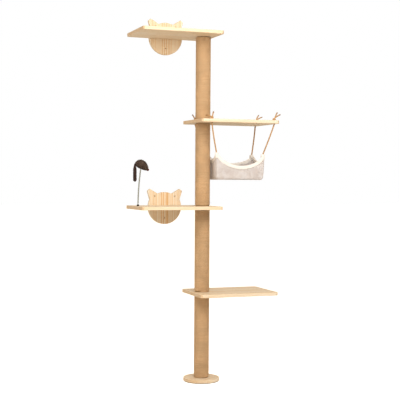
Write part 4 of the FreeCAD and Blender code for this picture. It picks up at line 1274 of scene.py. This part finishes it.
SPRING_FOOT = Vector((-0.3225, 0.010, 0.8553))
SPRING_HEAD = Vector((-0.3095, 0.010, 1.031))
SPRING_RADIUS = 0.0035
SPRING_WIRE = 0.0015
SPRING_CURLS = 56
SPRING_BOW = 0.0025
SPRING_STEPS = 22
SPRING_BALL = 0.0035
SPRING_NECK = 0.0015
SPRING_SEAT_AT = 0.0046
SPRING_SEAT_THICKNESS = 0.0015
WIRE_PALE = "#C7C9BD"
WIRE_DEEP = "#A9ABA0"
SOCKET_PALE = "#4E4A46"
SOCKET_DEEP = "#37332F"


# Pale grey zinc on drawn wire: faint draw marks break up its reflections.
wire_material = mottled(
    "zinc_plated_spring_wire", 1.2, [(0.3, WIRE_DEEP), (0.7, WIRE_PALE)], (0.35, 0.5), {"Metallic": 1.0},
)
# Blackened steel, turned: dark, with a soft shine and fine tool marks.
socket_material = mottled(
    "blackened_turned_steel", 0.8, [(0.3, SOCKET_DEEP), (0.7, SOCKET_PALE)], (0.3, 0.45), {"Metallic": 1.0},
)
dress("toy_socket", socket_material)
dress("toy_cap", socket_material)

spring_way = (SPRING_HEAD - SPRING_FOOT).normalized()
spring_side = np.array((0.0, 1.0, 0.0))
spring_other = np.cross(np.array(spring_way), spring_side)
seat_far = SPRING_SEAT_AT + SPRING_SEAT_THICKNESS
coil_from = np.array(SPRING_FOOT) + np.array(spring_way) * (seat_far + SPRING_WIRE)
coil_to = np.array(SPRING_HEAD) - np.array(spring_way) * (seat_far + SPRING_WIRE)
share = np.linspace(0, 1, SPRING_CURLS * SPRING_STEPS + 1)[:, None]
turn = share * 2 * np.pi * SPRING_CURLS
coil_radius = SPRING_RADIUS - SPRING_WIRE / 2
around = spring_side * np.cos(turn) + spring_other * np.sin(turn)
coil = coil_from + (coil_to - coil_from) * share + coil_radius * around
coil[:, 0] -= SPRING_BOW * (4 * share * (1 - share))[:, 0]
wire = tube(coil, SPRING_WIRE / 2, 8)
# The ball, its neck and the seat are one turning, drawn as a tube of changing radius.
ball_profile = (
    (-0.99, 0.15), (-0.9, 0.44), (-0.7, 0.71), (-0.35, 0.94),
    (0.0, 1.0), (0.35, 0.94), (0.7, 0.71), (0.88, 0.47),
)
stem = [(along * SPRING_BALL, radius * SPRING_BALL) for along, radius in ball_profile]
stem += [(SPRING_SEAT_AT - 0.0001, SPRING_NECK), (SPRING_SEAT_AT, SPRING_RADIUS)]
stem += [(seat_far, SPRING_RADIUS), (seat_far + 0.0004, SPRING_RADIUS * 0.6)]
stem_path = np.array([np.array(SPRING_FOOT) + np.array(spring_way) * along for along, radius in stem])
stem_tube = tube(stem_path, np.array([radius for along, radius in stem]), 28)
points, faces, loop_uv = join_tubes([wire, stem_tube])
spring = mesh_piece("coil_spring", points, faces, wire_material, loop_uv)
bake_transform(spring)
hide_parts("toy_foot", "toy_spring")


# ---------------------------------------------------------------- Toy mouse
# A stuffed mouse sewn from short dark faux fur, with a felt ball for a nose and two bead
# eyes. Its tail is a roll of brown fleece, pinched where it is sewn on, that swings freely.

MOUSE_VOXEL = 0.0009
MOUSE_LUMP = 0.0004
NOSE_VOXEL = 0.0005
NOSE_LUMP = 0.0002
TAIL_VOXEL = 0.0008
TAIL_LUMP = 0.0004
FUR_DARK = "#453931"
FUR_MIDDLE = "#68574D"
FUR_PALE = "#8A786B"
FLEECE_DARK = "#332724"
FLEECE_MIDDLE = "#493934"
FLEECE_PALE = "#5C4A43"
FELT_DARK = "#4F2120"
FELT_MIDDLE = "#6E302F"
FELT_PALE = "#854240"
FUR_TUFTS = 5200
FUR_LENGTH = 0.0042
FUR_THICKNESS = 0.00022
FLEECE_TUFTS = 2600
FLEECE_LENGTH = 0.0020
FLEECE_THICKNESS = 0.0002
FELT_TUFTS = 450
FELT_LENGTH = 0.0011
FELT_THICKNESS = 0.00012
PILE_SHINE = {"Specular IOR Level": 0.2, "Sheen Weight": 0.2, "Sheen Roughness": 0.45}


def sewn_skin(name, node_names, voxel, swell, material, tufts, tuft_length, tuft_thickness, lie, chance):
    """A soft skin over pieces of the frame: evened out, swollen in small lumps, and tufted."""
    solid_points, solid_faces = [], []
    for node_name in node_names:
        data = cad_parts[node_name].data
        start = len(solid_points)
        solid_points += [tuple(v.co) for v in data.vertices]
        solid_faces += [tuple(i + start for i in p.vertices) for p in data.polygons]
    rough_skin = mesh_piece("rough_skin", solid_points, solid_faces, material)
    even = rough_skin.modifiers.new("even", "REMESH")
    even.mode = "VOXEL"
    even.voxel_size = voxel
    soften = rough_skin.modifiers.new("soften", "SMOOTH")
    soften.iterations = 3
    evened = rough_skin.evaluated_get(bpy.context.evaluated_depsgraph_get())
    skin = bpy.data.meshes.new_from_object(evened)
    bpy.data.objects.remove(rough_skin)
    places = np.array([v.co for v in skin.vertices])
    normals = np.array([v.normal for v in skin.vertices])
    lumps = np.array([noise.noise(Vector(p) * 140.0) for p in places])
    places = places + normals * (swell * (1.0 + lumps))[:, None]
    skin_faces = [tuple(p.vertices) for p in skin.polygons]
    areas = np.array([p.area for p in skin.polygons])
    picked = chance.choice(len(areas), tufts, p=areas / areas.sum())
    roots = np.array([places[list(skin_faces[i])].mean(axis=0) for i in picked])
    roots = roots + chance.normal(0, voxel * 0.3, roots.shape)
    out = np.array([skin.polygons[int(i)].normal for i in picked])
    lying = np.array(lie) - out * (out @ np.array(lie))[:, None]
    ways = unit(out * 0.55 + lying + chance.normal(0, 0.18, out.shape))
    lengths = chance.uniform(0.5, 1.0, tufts) * tuft_length
    hairs = fibre_tufts(roots, ways, lengths, tuft_thickness, 0.12, chance)
    bpy.data.meshes.remove(skin)
    surface = (places, skin_faces, np.zeros((sum(len(f) for f in skin_faces), 2)))
    points, faces, loop_uv = join_tubes([surface, hairs])
    piece = mesh_piece(name, points, faces, material, loop_uv)
    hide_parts(*node_names)
    return piece


# Dyed piles, from long to short: dark roots, light tips, and clumps that lie different ways.
pile_materials = []
for name, dark, middle, pale, clump_mm in (
    ("short_faux_fur", FUR_DARK, FUR_MIDDLE, FUR_PALE, 2.4),
    ("brown_fleece", FLEECE_DARK, FLEECE_MIDDLE, FLEECE_PALE, 2.0),
    ("dusty_red_felt", FELT_DARK, FELT_MIDDLE, FELT_PALE, 1.5),
):
    pile_materials.append(mottled(
        name, clump_mm, [(0.3, dark), (0.5, middle), (0.72, pale)], (0.95, 0.8), PILE_SHINE,
        bump=(0.7, 0.0008), detail=4.0, spread=0.6,
    ))
fur_material, fleece_material, felt_material = pile_materials
mouse_skin = sewn_skin(
    "mouse_skin", ["mouse_body", "mouse_head"], MOUSE_VOXEL, MOUSE_LUMP, fur_material,
    FUR_TUFTS, FUR_LENGTH, FUR_THICKNESS, (-0.85, 0.0, 0.25), np.random.default_rng(11),
)
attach(mouse_skin, "mouse")
felt_nose = sewn_skin(
    "felt_nose", ["mouse_nose"], NOSE_VOXEL, NOSE_LUMP, felt_material,
    FELT_TUFTS, FELT_LENGTH, FELT_THICKNESS, (0.3, 0.0, -0.3), np.random.default_rng(12),
)
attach(felt_nose, "mouse")
fleece_tail = sewn_skin(
    "fleece_tail", ["mouse_tail"], TAIL_VOXEL, TAIL_LUMP, fleece_material,
    FLEECE_TUFTS, FLEECE_LENGTH, FLEECE_THICKNESS, (0.0, 0.0, -0.9), np.random.default_rng(13),
)
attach(fleece_tail, "tail")


# Moulded black plastic: glossy, with a faint haze that keeps its highlight from being a dot.
bead_material = mottled(
    "glossy_black_plastic", 1.0, None, (0.08, 0.18),
    {"Base Color": linear("#0C0B0B"), "IOR": 1.49}, detail=2.0,
)
dress("mouse_eyes", bead_material)


low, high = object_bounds()
